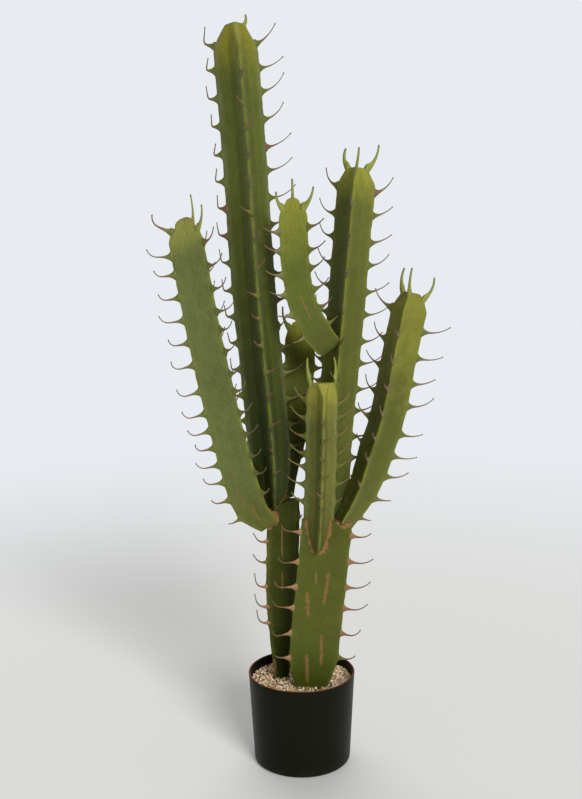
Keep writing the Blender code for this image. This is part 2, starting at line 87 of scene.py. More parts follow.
# %% [markdown]
# ## The plan of the stems
#
# Every skin and every spine has to lie where the solids are, so the plan of the stems is the same as theirs:
# the points that each axis runs through, the radius of its ribs, the azimuth of its first rib, and where the
# spines sit. An azimuth is 0 towards the viewer and grows to the right. A rib's highest spines have places
# of their own, and the rest of its row follows at an even spacing. At a crown the spines stand up as horns,
# and near a foot they are shorter and straighter.

# %% The stems
POT_RIM = 0.075
POT_FOOT = 0.068
POT_HEIGHT = 0.130
POT_WALL = 0.0024
GRAVEL_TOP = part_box("gravel_bed")[1].z
GAP = 0.0003
TRUNK_FOOT = GRAVEL_TOP + GAP
RIBS = 3
EDGE_HALF_WIDTH = 0.0018
EDGE_DEPTH = 0.0022
STATION_STEP = 0.006
CROWN_POWER = 1.5
TINY = 1e-9


@dataclass
class Rib:
    """The row of spines on one rib. Their places are measured down from the stem's tip."""

    length: float  # of the spines, as a share of SPINE_LENGTH
    tops: tuple  # the places of the highest ones
    spacing: float  # between the ones below those
    curl: float = 50  # degrees by which a spine turns upwards
    bend: tuple = (0.05, 1.0)  # the shares of its length between which it does so
    crest: float = 1.0  # the highest one's length, as a multiple of the others'
    tuck: tuple = (0.0, 0.01)  # the share of the rib that the crown slices off, and over what length
    sway: float = 1.0  # how far they lean aside, as a multiple of the usual lean


@dataclass
class Stem:
    """One limb of the cactus, from the points that its axis runs through."""

    name: str
    path: tuple  # from the foot up
    radius: float  # from the axis to the ribs' edges
    turn: float  # azimuth of the first rib, degrees
    valley: float  # from the axis to the bottom of a hollow, as a share of the radius
    foot: tuple  # share of the radius at the foot, length of the swell above it, and its power
    crown: tuple  # share of the radius at the tip, length of the rounding below it, height of the dome
    first: float  # no spine sits lower than this above the foot
    ribs: tuple
    horn: tuple = (46, 98)  # rise and curl of the spines at the crown, degrees
    meets: tuple = ()  # the limbs that it is glued to
    seat: str = ""  # the sawn trunk that it stands on


STEMS = (
    Stem(
        "trunk_left",
        (
            (-0.028, 0.004, TRUNK_FOOT), (-0.027, 0.001, 0.225), (-0.024, -0.001, 0.321),
            (-0.023, -0.001, 0.377),
        ),
        radius=0.0257, turn=180, valley=0.39, foot=(0.42, 0.170, 1.0), crown=(1.0, 0.0, 0.0),
        first=0.022,
        ribs=(
            Rib(0.90, (0.020, 0.052), 0.030),
            Rib(0.85, (0.0525, 0.084, 0.119, 0.146, 0.172), 0.200, curl=70, bend=(0.1, 0.7)),
            Rib(0.80, (0.020, 0.055), 0.034),
        ),
        meets=("stem_tall", "stem_back", "arm_left"),
    ),
    Stem(
        "trunk_right",
        (
            (0.012, -0.021, TRUNK_FOOT), (0.020, -0.023, 0.204), (0.030, -0.024, 0.295),
            (0.036, -0.024, 0.360),
        ),
        radius=0.0400, turn=180, valley=0.50, foot=(0.60, 0.065, 1.0), crown=(1.0, 0.0, 0.0),
        first=0.030,
        ribs=(
            Rib(0.90, (0.022, 0.056), 0.034),
            Rib(0.95, (0.019, 0.060), 0.034, curl=80, bend=(0.55, 1.0)),
            Rib(1.00, (0.018, 0.053), 0.0345, curl=55, bend=(0.30, 1.0), crest=0.8),
        ),
        meets=("stem_right", "arm_front", "arm_right"),
    ),
    Stem(
        "stem_tall",
        (
            (-0.037, -0.004, 0.377), (-0.041, 0.0, 0.472), (-0.057, 0.0, 0.669),
            (-0.067, 0.0, 0.857), (-0.0775, 0.0, 1.0106),
        ),
        radius=0.0342, turn=7, valley=0.36, foot=(0.60, 0.055, 1.0), crown=(0.44, 0.034, 0.003),
        first=0.030,
        ribs=(
            Rib(0.62, (0.0646,), 0.035, tuck=(0.25, 0.030), sway=6),
            Rib(1.22, (0.001, 0.0226, 0.0516), 0.0342, crest=0.30),
            Rib(0.75, (0.0231, 0.0556), 0.0357, curl=95, bend=(0.35, 0.50), crest=1.2),
        ),
        meets=("trunk_left",), seat="trunk_left",
    ),
    Stem(
        "stem_back",
        (
            (-0.017, 0.015, 0.383), (-0.016, 0.031, 0.420), (-0.010, 0.039, 0.465),
            (0.001, 0.047, 0.545), (0.003, 0.051, 0.618),
        ),
        radius=0.0240, turn=180, valley=0.40, foot=(0.42, 0.100, 1.0), crown=(0.50, 0.022, 0.004),
        first=0.045,
        ribs=(
            Rib(0.90, (0.004, 0.032), 0.029),
            Rib(0.85, (0.006, 0.034), 0.029),
            Rib(0.85, (0.005, 0.033), 0.029),
        ),
        meets=("trunk_left", "stem_tall"), seat="trunk_left",
    ),
    Stem(
        "stem_right",
        (
            (0.041, -0.010, 0.360), (0.046, -0.003, 0.461), (0.0625, 0.0, 0.629),
            (0.072, 0.0, 0.738), (0.080, 0.0, 0.827),
        ),
        radius=0.0294, turn=-8, valley=0.42, foot=(0.90, 0.030, 1.0), crown=(0.50, 0.024, 0.0015),
        first=0.032,
        ribs=(
            Rib(0.62, (0.004, 0.050), 0.045, crest=1.5, sway=3),
            Rib(1.00, (0.003, 0.028), 0.033, curl=45),
            Rib(0.95, (0.003, 0.027), 0.033, curl=72, bend=(0.15, 0.80), crest=0.75),
        ),
        meets=("trunk_right",), seat="trunk_right",
    ),
    Stem(
        "arm_left",
        (
            (-0.040, -0.015, 0.350), (-0.065, -0.0195, 0.384), (-0.089, -0.022, 0.471),
            (-0.1175, -0.025, 0.606), (-0.1424, -0.0297, 0.7556),
        ),
        radius=0.0288, turn=160, valley=0.46, foot=(0.62, 0.050, 1.0), crown=(0.57, 0.020, 0.011),
        first=0.028,
        ribs=(
            Rib(0.95, (0.001, 0.0326), 0.031, crest=1.2),
            Rib(
                0.92, (0.0086, 0.0341, 0.0616, 0.0935, 0.1222, 0.1515, 0.1826, 0.219, 0.2465), 0.0243,
                curl=85, bend=(0.50, 0.95), crest=1.2,
            ),
            Rib(1.00, (0.0045, 0.0266), 0.0285, curl=55, bend=(0.20, 1.0)),
        ),
        horn=(75, 98), meets=("trunk_left", "stem_tall"),
    ),
    Stem(
        "arm_front",
        ((0.0235, -0.0455, 0.319), (0.026, -0.050, 0.370), (0.029, -0.051, 0.444), (0.0315, -0.051, 0.548)),
        radius=0.0238, turn=2, valley=0.30, foot=(0.40, 0.040, 0.60), crown=(0.75, 0.018, 0.0015),
        first=0.030,
        ribs=(
            Rib(0.50, (0.048,), 0.0235, tuck=(0.60, 0.016), sway=4),
            Rib(0.80, (0.002, 0.028), 0.022, crest=1.2),
            Rib(0.80, (0.002, 0.027), 0.0225, crest=1.2),
        ),
        horn=(72, 106), meets=("trunk_right",),
    ),
    Stem(
        "arm_right",
        (
            (0.058, -0.036, 0.354), (0.083, -0.030, 0.398), (0.099, -0.025, 0.443),
            (0.1175, -0.020, 0.500), (0.1345, -0.020, 0.589), (0.150, -0.020, 0.663),
        ),
        radius=0.0278, turn=-16, valley=0.43, foot=(0.55, 0.110, 1.0), crown=(0.50, 0.024, 0.0015),
        first=0.012,
        ribs=(
            Rib(0.75, (0.003, 0.052), 0.036, crest=1.3),
            Rib(1.00, (0.004, 0.047, 0.086, 0.121, 0.153), 0.031, curl=42, bend=(0.25, 1.0), crest=0.9),
            Rib(0.90, (0.003, 0.027), 0.037, curl=65, crest=0.9),
        ),
        horn=(60, 108), meets=("trunk_right",),
    ),
    Stem(
        "arm_upper",
        (
            (0.0435, -0.016, 0.590), (0.024, -0.026, 0.617), (0.005, -0.0285, 0.657),
            (-0.003, -0.031, 0.710), (-0.0053, -0.0347, 0.7826),
        ),
        radius=0.0214, turn=180, valley=0.50, foot=(0.55, 0.014, 0.6), crown=(0.50, 0.018, 0.007),
        first=0.020,
        ribs=(
            Rib(0.75, (0.001, 0.0226), 0.027, crest=1.15),
            Rib(0.72, (0.0046, 0.0366), 0.026),
            Rib(0.78, (0.0036, 0.0306), 0.028, crest=1.2),
        ),
        horn=(56, 100), meets=("stem_right",),
    ),
)
NAMED = {stem.name: stem for stem in STEMS}
print(len(STEMS), "limbs; trunks are cut off at", STEMS[0].path[-1][2], "and", STEMS[1].path[-1][2])

# %% [markdown]
# ## Axes and frames
#
# A limb's axis is a smooth curve through its few points. At every station along it a small frame is needed:
# a tangent, a front and a right. The front is the viewer's direction laid square to the tangent, so the
# frame never twists, and a rib that starts at the front stays there all the way up.

# %% Axes
CURVE_DETAIL = 60


def unit(vectors):
    """Vectors, each divided by its own length."""
    return vectors / np.linalg.norm(vectors, axis=-1, keepdims=True)


def smooth_curve(points, step):
    """A Catmull-Rom curve through the points, as places an even step apart.

    Between two points p1 and p2 it is half of 2 p1 + (p2 - p0) t + (2 p0 - 5 p1 + 4 p2 - p3) t^2
    + (3 p1 - p0 - 3 p2 + p3) t^3.
    """
    knots = np.array(points)
    ends = np.vstack([2 * knots[0] - knots[1], knots, 2 * knots[-1] - knots[-2]])
    pieces = []
    for p0, p1, p2, p3 in zip(ends[:-3], ends[1:-2], ends[2:-1], ends[3:]):
        t = np.linspace(0, 1, CURVE_DETAIL, endpoint=False)[:, None]
        square = 2 * p0 - 5 * p1 + 4 * p2 - p3
        cube = 3 * p1 - p0 - 3 * p2 + p3
        pieces.append(0.5 * (2 * p1 + (p2 - p0) * t + square * t**2 + cube * t**3))
    dense = np.vstack([*pieces, knots[-1]])
    along = np.concatenate([[0], np.cumsum(np.linalg.norm(np.diff(dense, axis=0), axis=1))])
    places = np.linspace(0, along[-1], max(3, round(along[-1] / step) + 1))
    return np.column_stack([np.interp(places, along, dense[:, axis]) for axis in range(3)]), places


def near_tip(places, length):
    """How far each place lies into the last stretch before the tip: 0 below it, and 1 at the tip."""
    return np.clip((places - places[-1] + length) / max(length, TINY), 0, 1)


def rib_radius(stem, along):
    """The distance from axis to rib edge: it swells from the foot as a sine and rounds in at the crown."""
    foot_share, foot_length, foot_power = stem.foot
    crown_share, crown_length, _ = stem.crown
    swell = np.sin(np.pi / 2 * np.clip(along / foot_length, 0, 1)) ** foot_power
    rounding = 1 - (1 - crown_share) * near_tip(along, crown_length) ** CROWN_POWER
    return stem.radius * (foot_share + (1 - foot_share) * swell) * rounding


def frames(stem, step):
    """The axis of a stem at even places: points, tangents, fronts, rights, lengths and rib radii."""
    axis, along = smooth_curve(stem.path, step)
    tangent = unit(np.gradient(axis, along, axis=0))
    front = np.array([0.0, -1.0, 0.0])
    front = unit(front - (tangent @ front)[:, None] * tangent)
    right = np.cross(tangent, front)
    return axis, tangent, front, right, along, rib_radius(stem, along)


STATIONS = {stem.name: frames(stem, STATION_STEP) for stem in STEMS}
print("longest axis:", round(max(station[4][-1] for station in STATIONS.values()), 3), "m")

# %% [markdown]
# ## The cross-section
#
# Cut across, a limb is a three-pointed star with blunt points and soft hollows. In polar form each face is a
# straight line, whose radius is a simple fraction of sines. Two faces meet in a hollow as a smooth maximum,
# and the rib's blunt edge is a smooth minimum with a cap. One formula then gives the whole ring for any
# radius.

# %% The cross-section
SPREAD = 2 * np.pi / RIBS
HOLLOW_WIDTH = 0.14
EDGE_POWER = 26
CAP_FALL, CAP_LOW = 7.5, 0.97
FACE_SWELL = 0.05


def off_rib(stem, azimuth):
    """The angle from the nearest rib, between 0 and half the spread."""
    return np.abs((azimuth - np.radians(stem.turn) + SPREAD / 2) % SPREAD - SPREAD / 2)


def rim(stem, azimuth):
    """The solid's outline as a share of the rib radius: straight from each rib to each valley."""
    off = off_rib(stem, azimuth)
    depth = stem.valley * np.sin(SPREAD / 2)
    return depth / (depth * np.cos(off) + (1 - stem.valley * np.cos(SPREAD / 2)) * np.sin(off))


def soft_least(first, second):
    """A smooth minimum: in a sum of high negative powers the smaller of the two counts."""
    return (first**-EDGE_POWER + second**-EDGE_POWER) ** (-1 / EDGE_POWER)


def section(stem, azimuth, valley):
    """The skin's outline as a share of the rib radius, for azimuths and for a valley that may vary by row.

    Each face is the straight line from the rib's shoulder to the valley, and the next one is its mirror
    image. The farther of the two counts, with a soft change between them, and the rib's cap cuts the edge
    off. With a valley of a half the two faces are nearly one flat panel.
    """
    off = off_rib(stem, azimuth)
    half = EDGE_HALF_WIDTH / stem.radius
    shoulder = 1 - EDGE_DEPTH / stem.radius
    slope = (valley * np.sin(SPREAD / 2) - half) / (shoulder - valley * np.cos(SPREAD / 2))
    apex = shoulder * slope + half
    near = apex / (slope * np.cos(off) + np.sin(off))
    far = apex / (slope * np.cos(SPREAD - off) + np.sin(SPREAD - off))
    soft = HOLLOW_WIDTH * 2 * valley * np.tan(SPREAD / 4 - np.arctan(slope))
    face = (near + far) / 2 + np.hypot((near - far) / 2, soft)
    face = face + FACE_SWELL * (1 - 2 * valley) * np.sin(2 * np.pi * off / SPREAD) ** 2
    cap = np.maximum(1 - CAP_FALL * off**2, CAP_LOW)
    return soft_least(face, cap)


tall_section = section(NAMED["stem_tall"], np.linspace(0, 2 * np.pi, 7), NAMED["stem_tall"].valley)
print("section of the tall stem every 60 degrees:", np.round(tall_section, 2))

# %% [markdown]
# ## Room for a spine
#
# A spine mustn't run into another limb, another spine or the gravel. To test a point against a limb, it is
# read in the frame of the nearest station: a distance from the axis and an azimuth. There the outline says
# at once whether the point is inside.

# %% Clear of the rest
SPINE_CLEARANCE = 0.0030


def nearest_frame(points, stations):
    """For each point its nearest station, how far it lies along and beyond it, and its polar place there."""
    axis, tangent, front, right, _, _ = stations
    apart = points[:, None] - axis[None]
    nearest = np.argmin(np.einsum("ijk,ijk->ij", apart, apart), axis=1)
    off = apart[np.arange(len(points)), nearest]
    x = np.einsum("ij,ij->i", off, right[nearest])
    y = np.einsum("ij,ij->i", off, front[nearest])
    past = np.einsum("ij,ij->i", off, tangent[nearest])
    return nearest, past, np.hypot(x, y), np.arctan2(x, y)


def touches(points, stem, margin):
    """Whether any of the points lies inside a stem's body or within the margin of it."""
    nearest, past, distance, azimuth = nearest_frame(points, STATIONS[stem.name])
    limit = rim(stem, azimuth) * STATIONS[stem.name][5][nearest] + EDGE_HALF_WIDTH + margin
    return bool(((distance < limit) & (np.abs(past) < STATION_STEP + margin)).any())


def is_free(line, stem, taken):
    """Whether a spine's line keeps clear of the other stems, of the spines so far and of the gravel."""
    if any(touches(line, other, SPINE_CLEARANCE) for other in STEMS if other is not stem):
        return False
    if len(taken) and np.linalg.norm(line[:, None] - taken[None], axis=2).min() < SPINE_CLEARANCE:
        return False
    return line[:, 2].min() > GRAVEL_TOP + SPINE_CLEARANCE


tall_tip = np.array([NAMED["stem_tall"].path[-1]])
print("the tall stem's tip touches the left trunk:", touches(tall_tip, NAMED["trunk_left"], SPINE_CLEARANCE))

# %% [markdown]
# ## The spines' places
#
# The solids carry a hook at every place where a rib has a spine, and the skins below need those places too,
# for the small cushions that the spines grow out of. So the rule of the solids is worked through again here,
# with the same seed: each spine is tried in a few lengths and turns until it clears the other limbs.

# %% Where the spines are
SPINE_LENGTH = 0.037
SPINE_STEPS = 20
# Each try: a share of the spine's length, and degrees that it is turned aside.
SPINE_TRIES = ((1.0, 0), (1.0, 28), (1.0, -28), (0.8, 48), (0.8, -48), (0.6, 10), (0.6, -40), (0.45, 0))
SPINE_SEED = 7
YOUNG_LENGTH = 0.024
RISE, RISE_SPREAD, CURL_SPREAD, SWAY_SPREAD = 4, 7, 16, 9
LENGTH_SPREAD = 0.10
FOOT_SHARE, FOOT_REACH = 0.25, 0.110


@dataclass
class Spine:
    """One spine: its line, its directions aside and upward, its rib, its place on the stem and its youth."""

    line: np.ndarray
    aside: np.ndarray
    upward: np.ndarray
    rib: int
    place: float
    youth: float


def hook(root, level, upward, length, angles, bend):
    """A spine's line: it leaves at the first angle over level, and turns to the second within its bend."""
    share = np.clip((np.linspace(0, 1, SPINE_STEPS) - bend[0]) / (bend[1] - bend[0]), 0, 1)
    angle = np.radians(angles[0] + (angles[1] - angles[0]) * share)[:, None]
    ways = np.cos(angle) * level + np.sin(angle) * upward
    steps = (ways[1:] + ways[:-1]) / 2 * length / (SPINE_STEPS - 1)
    return root + np.vstack([np.zeros(3), np.cumsum(steps, axis=0)])


def spine_places(stem, rib, length):
    """The places of a rib's spines along the stem, from the highest down."""
    row = np.arange(length - rib.tops[-1] - rib.spacing, stem.first, -rib.spacing)
    return np.concatenate([length - np.array(rib.tops), row])


def free_hook(stem, bend, root, ways, length, angles, lean, taken):
    """(line, direction aside) of a spine in the first of the tries that is free, or None."""
    outward, aside, upward = ways
    for shorter, turned in SPINE_TRIES:
        turn = np.radians(lean + turned)
        level = np.cos(turn) * outward + np.sin(turn) * aside
        line = hook(root, level, upward, length * shorter, angles, bend)
        if is_free(line, stem, taken):
            return line, np.cos(turn) * aside - np.sin(turn) * outward
    return None


def spine_lines():
    """Every spine, by name of stem. Youth falls off as a bell below the tip, and makes a spine a horn."""
    rng = np.random.default_rng(SPINE_SEED)
    taken = np.empty((0, 3))
    spines = {stem.name: [] for stem in STEMS}
    for stem in STEMS:
        axis, tangent, front, right, along, radius = STATIONS[stem.name]
        for number, rib in enumerate(stem.ribs):
            azimuth = np.radians(stem.turn + 360 / RIBS * number)
            for order, place in enumerate(spine_places(stem, rib, along[-1])):
                rise, curl, sway, stretch = rng.uniform(-1, 1, 4)
                below = along[-1] + stem.crown[2] - place
                young = np.exp(-((below / YOUNG_LENGTH) ** 2)) if stem.crown[1] else 0
                i = int(np.argmin(np.abs(along - place)))
                outward = np.cos(azimuth) * front[i] + np.sin(azimuth) * right[i]
                aside = -np.sin(azimuth) * front[i] + np.cos(azimuth) * right[i]
                root = axis[i] + radius[i] * outward
                settled = min(1, FOOT_SHARE + place / FOOT_REACH)
                share = rib.length * settled * (1 if order else rib.crest)
                length = SPINE_LENGTH * share * (1 + LENGTH_SPREAD * stretch)
                rise = RISE + RISE_SPREAD * rise + (stem.horn[0] - RISE) * young
                curl = rib.curl * settled + CURL_SPREAD * curl + (stem.horn[1] - rib.curl) * young
                ways = (outward, aside, tangent[i])
                lean = SWAY_SPREAD * rib.sway * sway
                found = free_hook(stem, rib.bend, root, ways, length, (rise, curl), lean, taken)
                if found:
                    line, across = found
                    taken = np.vstack([taken, line])
                    spines[stem.name].append(Spine(line, across, tangent[i], number, along[i], young))
    return spines


SPINES = spine_lines()
print("spines:", {name: len(found) for name, found in SPINES.items()})

# %% [markdown]
# ## Unevenness
#
# Soft plastic from a mould is never quite even: it swells and sinks by a fraction of a millimetre over a few
# centimetres. A sum of plane waves with seeded directions is a cheap way to get such a smooth noise for
# whole arrays of points at once, and it is the same on every run.

# %% Smooth noise
WAVE_SPREAD = (0.6, 1.7)
WAVE_LEVEL = 0.7


def waves(points, size, count, seed):
    """A smooth noise between about -1 and 1: the mean of sines whose waves are about size long."""
    rng = np.random.default_rng(seed)
    ways = unit(rng.normal(size=(count, 3)))
    rate = 2 * np.pi / (size * rng.uniform(*WAVE_SPREAD, count))
    phase = rng.uniform(0, 2 * np.pi, count)
    return np.sin(points @ (ways * rate[:, None]).T + phase).sum(-1) * np.sqrt(2 / count) * WAVE_LEVEL


print("waves at one point:", np.round(waves(np.zeros((1, 3)), 0.02, 9, 1), 2))

# %% [markdown]
# ## A closed grid as a mesh
#
# Each skin is a grid of rows and columns: the columns go once round, and the first and the last row shrink
# to a point. The whole grid becomes one mesh, with the two poles as single vertices. Numbers that the paint
# needs, such as the distance from the tip, ride along as attributes of the points, and a map in metres,
# round the limb and along it, carries the fine streaks.

# %% Grid to mesh
MAP_NAME = "skin"


def ring_faces(rings, sides):
    """Faces over rings of points with a pole at each end: quads between rings, and a fan at either pole."""
    ring, side = np.meshgrid(np.arange(rings - 1), np.arange(sides), indexing="ij")
    after = (side + 1) % sides
    quads = np.stack([ring, ring, ring + 1, ring + 1], -1) * sides + np.stack([side, after, after, side], -1)
    here, there = np.arange(sides), (np.arange(sides) + 1) % sides
    top = (rings - 1) * sides
    low = np.column_stack([there, here, np.full(sides, rings * sides)])
    high = np.column_stack([top + here, top + there, np.full(sides, rings * sides + 1)])
    return quads.reshape(-1, 4), low, high


def lay_map(mesh, around, along):
    """The skin's map: every corner's place round the columns and along the rows, in metres."""
    columns, rows = len(around) - 1, len(along)
    column = np.tile(np.arange(columns), rows - 1)
    row = np.repeat(np.arange(rows - 1), columns)
    across = np.stack([around[column], around[column + 1], around[column + 1], around[column]], -1)
    upward = np.stack([along[row], along[row], along[row + 1], along[row + 1]], -1)
    left, right, middle = around[:-1], around[1:], (around[:-1] + around[1:]) / 2
    caps = np.concatenate([np.stack([right, left, middle], -1), np.stack([left, right, middle], -1)])
    ends = np.repeat([along[0], along[-1]], columns * 3)
    spots = [np.concatenate([across.ravel(), caps.ravel()]), np.concatenate([upward.ravel(), ends])]
    layer = mesh.uv_layers.new(name=MAP_NAME)
    layer.data.foreach_set("uv", np.column_stack(spots).astype(np.float32).ravel())


def closed_grid(name, points, numbers, around, along):
    """A mesh from points of shape (rows, columns, 3), closed round its columns and by a pole at each end.

    around and along give the map's coordinates of the columns, one more than there are, and of the rows.
    """
    vertices = np.vstack([points.reshape(-1, 3), points[[0, -1]].mean(1)])
    faces = [face for kind in ring_faces(*points.shape[:2]) for face in kind.tolist()]
    mesh = bpy.data.meshes.new(name)
    mesh.from_pydata(vertices, [], faces)
    lay_map(mesh, around, along)
    for label, values in numbers.items():
        layer = mesh.attributes.new(label, "FLOAT", "POINT")
        layer.data.foreach_set("value", np.append(values.ravel(), values[[0, -1]].mean(1)).astype(np.float32))
    return finish_mesh(mesh)


def finish_mesh(mesh):
    """An object of the same name for a mesh, smooth, at the origin."""
    mesh.shade_smooth()
    obj = bpy.data.objects.new(mesh.name, mesh)
    bpy.context.scene.collection.objects.link(obj)
    return obj


def volume(mesh):
    """The mesh's volume, which is positive when its faces point outwards."""
    mesh.calc_loop_triangles()
    corners = np.empty(len(mesh.vertices) * 3, np.float32)
    mesh.vertices.foreach_get("co", corners)
    triangles = np.empty(len(mesh.loop_triangles) * 3, np.int32)
    mesh.loop_triangles.foreach_get("vertices", triangles)
    a, b, c = corners.reshape(-1, 3).astype(float)[triangles.reshape(-1, 3)].transpose(1, 0, 2)
    return float(np.einsum("ij,ij->i", a, np.cross(b, c)).sum() / 6)


print("faces over three rings of eight points:", sum(len(kind) for kind in ring_faces(3, 8)))

# %% [markdown]
# ## Columns and rows of a skin
#
# The ribs' edges are thin and the faces are plain, so the columns crowd together at the ribs and spread out
# towards the hollows. The rows are two millimetres apart, and a few rows at each end shrink to the poles.

# %% Columns and rows
COLUMNS_PER_SIDE = 20
CROWDING = 1.5
ROW_STEP = 0.0020
FOOT_SHARES = np.array([0.02, 0.35, 0.70, 0.93])
TOP_SHARES = np.array([0.99, 0.95, 0.88, 0.76, 0.60, 0.38, 0.03])


def columns_of(stem):
    """Azimuths round the stem, one more than the columns: from a rib they go out as a power of a share."""
    share = (np.arange(COLUMNS_PER_SIDE) / COLUMNS_PER_SIDE) ** CROWDING * SPREAD / 2
    side = np.sort(np.concatenate([share, SPREAD - share[1:], [SPREAD / 2]]))
    starts = np.radians(stem.turn) + SPREAD * np.arange(RIBS)
    return np.append(np.concatenate([start + side for start in starts]), starts[0] + 2 * np.pi)


def rows_of(stem):
    """(places along the stem, radius shares): the body's rows, and the rows that shrink to the two poles."""
    length = STATIONS[stem.name][4][-1]
    body = np.linspace(0, length, round(length / ROW_STEP) + 1)
    places = np.concatenate([np.zeros(len(FOOT_SHARES)), body, np.full(len(TOP_SHARES), length)])
    return places, np.concatenate([FOOT_SHARES, np.ones(len(body)), TOP_SHARES])


print("columns:", len(columns_of(STEMS[0])) - 1, "and rows:", [len(rows_of(stem)[0]) for stem in STEMS])

# %% [markdown]
# ## Where limbs are glued
#
# A brown smear of glue and paint shows wherever one limb enters another. To paint it, each point of a skin
# needs its distance to the limbs that it meets. The polar outline gives that almost for free: the point's
# radius in the neighbour's frame, less the neighbour's own radius there.

# %% Distance to the neighbours
FAR = 0.05


def gap_to(points, stem):
    """The distance from points to a stem's outline, and round its two ends, below zero inside it."""
    stations = STATIONS[stem.name]
    nearest, past, distance, azimuth = nearest_frame(points, stations)
    gap = distance - rim(stem, azimuth) * stations[5][nearest]
    last = len(stations[0]) - 1
    beyond = np.where(nearest == last, past, np.where(nearest == 0, -past, 0))
    return np.where(beyond > 0, np.hypot(np.maximum(gap, 0), beyond), gap)


def seam_distance(stem, points, places):
    """The least distance from each point to the limbs that this one is glued to, and to its own glued end."""
    flat = points.reshape(-1, 3)
    found = np.full(len(flat), FAR)
    for name in stem.meets:
        found = np.minimum(found, np.abs(gap_to(flat, NAMED[name])))
    found = found.reshape(points.shape[:-1])
    if stem.seat:
        found = np.minimum(found, places[:, None])
    return found


left_top = np.array([NAMED["trunk_left"].path[-1]])
print("tall stem to the left trunk's top, mm:", np.round(1000 * gap_to(left_top, NAMED["stem_tall"]), 1))

# %% [markdown]
# ## Scrapes
#
# The two trunks and the feet of some arms have brushed salmon-brown marks, long and thin. Each one is a
# smooth bump on the surface: it falls off along the stem and across it. A noise breaks it up later, in the
# material.

# %% Scrapes
SCRAPE_LEVEL, SCRAPE_END_POWER = 1.15, 4
# Each mark: azimuth and height above the stem's foot at its low and at its high end, and half its width.
SCRAPES = {
    "trunk_right": (
        (18, 0.124, 24, 0.180, 0.0026),
        (-31, 0.106, -43, 0.147, 0.0026),
        (31, 0.036, 21, 0.088, 0.0024),
        (-19, 0.008, -27, 0.060, 0.0028),
        (-19, 0.157, -23, 0.174, 0.0018),
    ),
    "trunk_left": (
        (-3, 0.180, -9, 0.230, 0.0015),
        (4, 0.134, 1, 0.166, 0.0013),
        (-56, 0.010, -54, 0.036, 0.0014),
    ),
    "arm_left": (
        (-44, 0.078, -39, 0.103, 0.0010),
        (-47, 0.039, -46, 0.065, 0.0012),
        (-26, 0.016, -3, 0.044, 0.0022),
    ),
    "arm_front": ((-62, 0.050, -74, 0.084, 0.0016),),
    "arm_right": ((-26, 0.040, -30, 0.070, 0.0018),),
    "arm_upper": ((10, 0.050, 4, 0.092, 0.0014),),
}


def scrape_mask(stem, places, azimuths, reach):
    """How strongly each point of a skin is scraped, from 0 to 1: a bell across the mark, level along it."""
    mask = np.zeros(reach.shape)
    for low_turn, low, high_turn, high, width in SCRAPES.get(stem.name, ()):
        share = (places - low) / (high - low)
        middle = np.radians(low_turn + (high_turn - low_turn) * np.clip(share, 0, 1))
        turn = (azimuths[None] - middle[:, None] + np.pi) % (2 * np.pi) - np.pi
        lengthwise = np.clip(SCRAPE_LEVEL - np.abs(2 * share - 1) ** SCRAPE_END_POWER, 0, 1)
        mask = np.maximum(mask, np.exp(-((turn * reach / width) ** 2)) * lengthwise[:, None])
    return mask


print("scrapes:", {name: len(marks) for name, marks in SCRAPES.items()})

# %% [markdown]
# ## What stands out on the ribs
#
# Two small things make a rib's edge real: a cushion under every spine, and a roughness between the cushions,
# as a mould leaves it. Both are added to the radius, and a bell round the stem keeps them near the edge.

# %% Cushions and rough edges
CUSHION_HEIGHT = 0.0016
CUSHION_LENGTH = 0.0050
TALL_CUSHIONS = {"arm_front": 1.5}
EDGE_WIDTH = 0.0030
EDGE_ROUGHNESS, EDGE_WAVE_SIZE, EDGE_WAVES = 0.00015, 0.009, 7
RIBS_APART = 0.1


def rib_growth(stem, places, azimuths, seed):
    """What the ribs' edges stand out beyond the even section: a bell under each spine, and roughness."""
    edge = np.exp(-((off_rib(stem, azimuths) * stem.radius / EDGE_WIDTH) ** 2))
    number = np.round((azimuths - np.radians(stem.turn)) / SPREAD).astype(int) % RIBS
    growth = np.zeros((len(places), len(azimuths)))
    cushion = CUSHION_HEIGHT * TALL_CUSHIONS.get(stem.name, 1)
    for rib in range(RIBS):
        spots = np.array([spine.place for spine in SPINES[stem.name] if spine.rib == rib])
        bumps = np.exp(-(((places[:, None] - spots[None]) / CUSHION_LENGTH) ** 2)).max(1)
        line = np.column_stack([places, np.full(len(places), rib * RIBS_APART), np.zeros(len(places))])
        rough = EDGE_ROUGHNESS * waves(line, EDGE_WAVE_SIZE, EDGE_WAVES, seed + rib)
        growth += np.where(number == rib, edge, 0)[None] * (cushion * bumps + rough)[:, None]
    return growth


tall = NAMED["stem_tall"]
tall_growth = rib_growth(tall, rows_of(tall)[0], columns_of(tall)[:-1], 1)
print("the tall stem's edges stand out by up to", round(1000 * tall_growth.max(), 1), "mm")

# %% [markdown]
# ## Sawn tops and the feet on them
#
# The trunks are sawn off at a slope, and three stems stand on the cuts. The end of a skin is laid on such a
# plane by moving each of its points along the axis. The move fades out over a short stretch, so that the
# rest of the limb stays as it is.

# %% Sawn tops
CUTS = {"trunk_left": 0.36, "trunk_right": -0.10}
SINK = 0.0010
LEAN_REACH = 0.020


def plane_of(name):
    """(height at x = 0, slope) of a trunk's sawn top, which its axis meets at its last point."""
    top = NAMED[name].path[-1]
    return top[2] - CUTS[name] * top[0], CUTS[name]


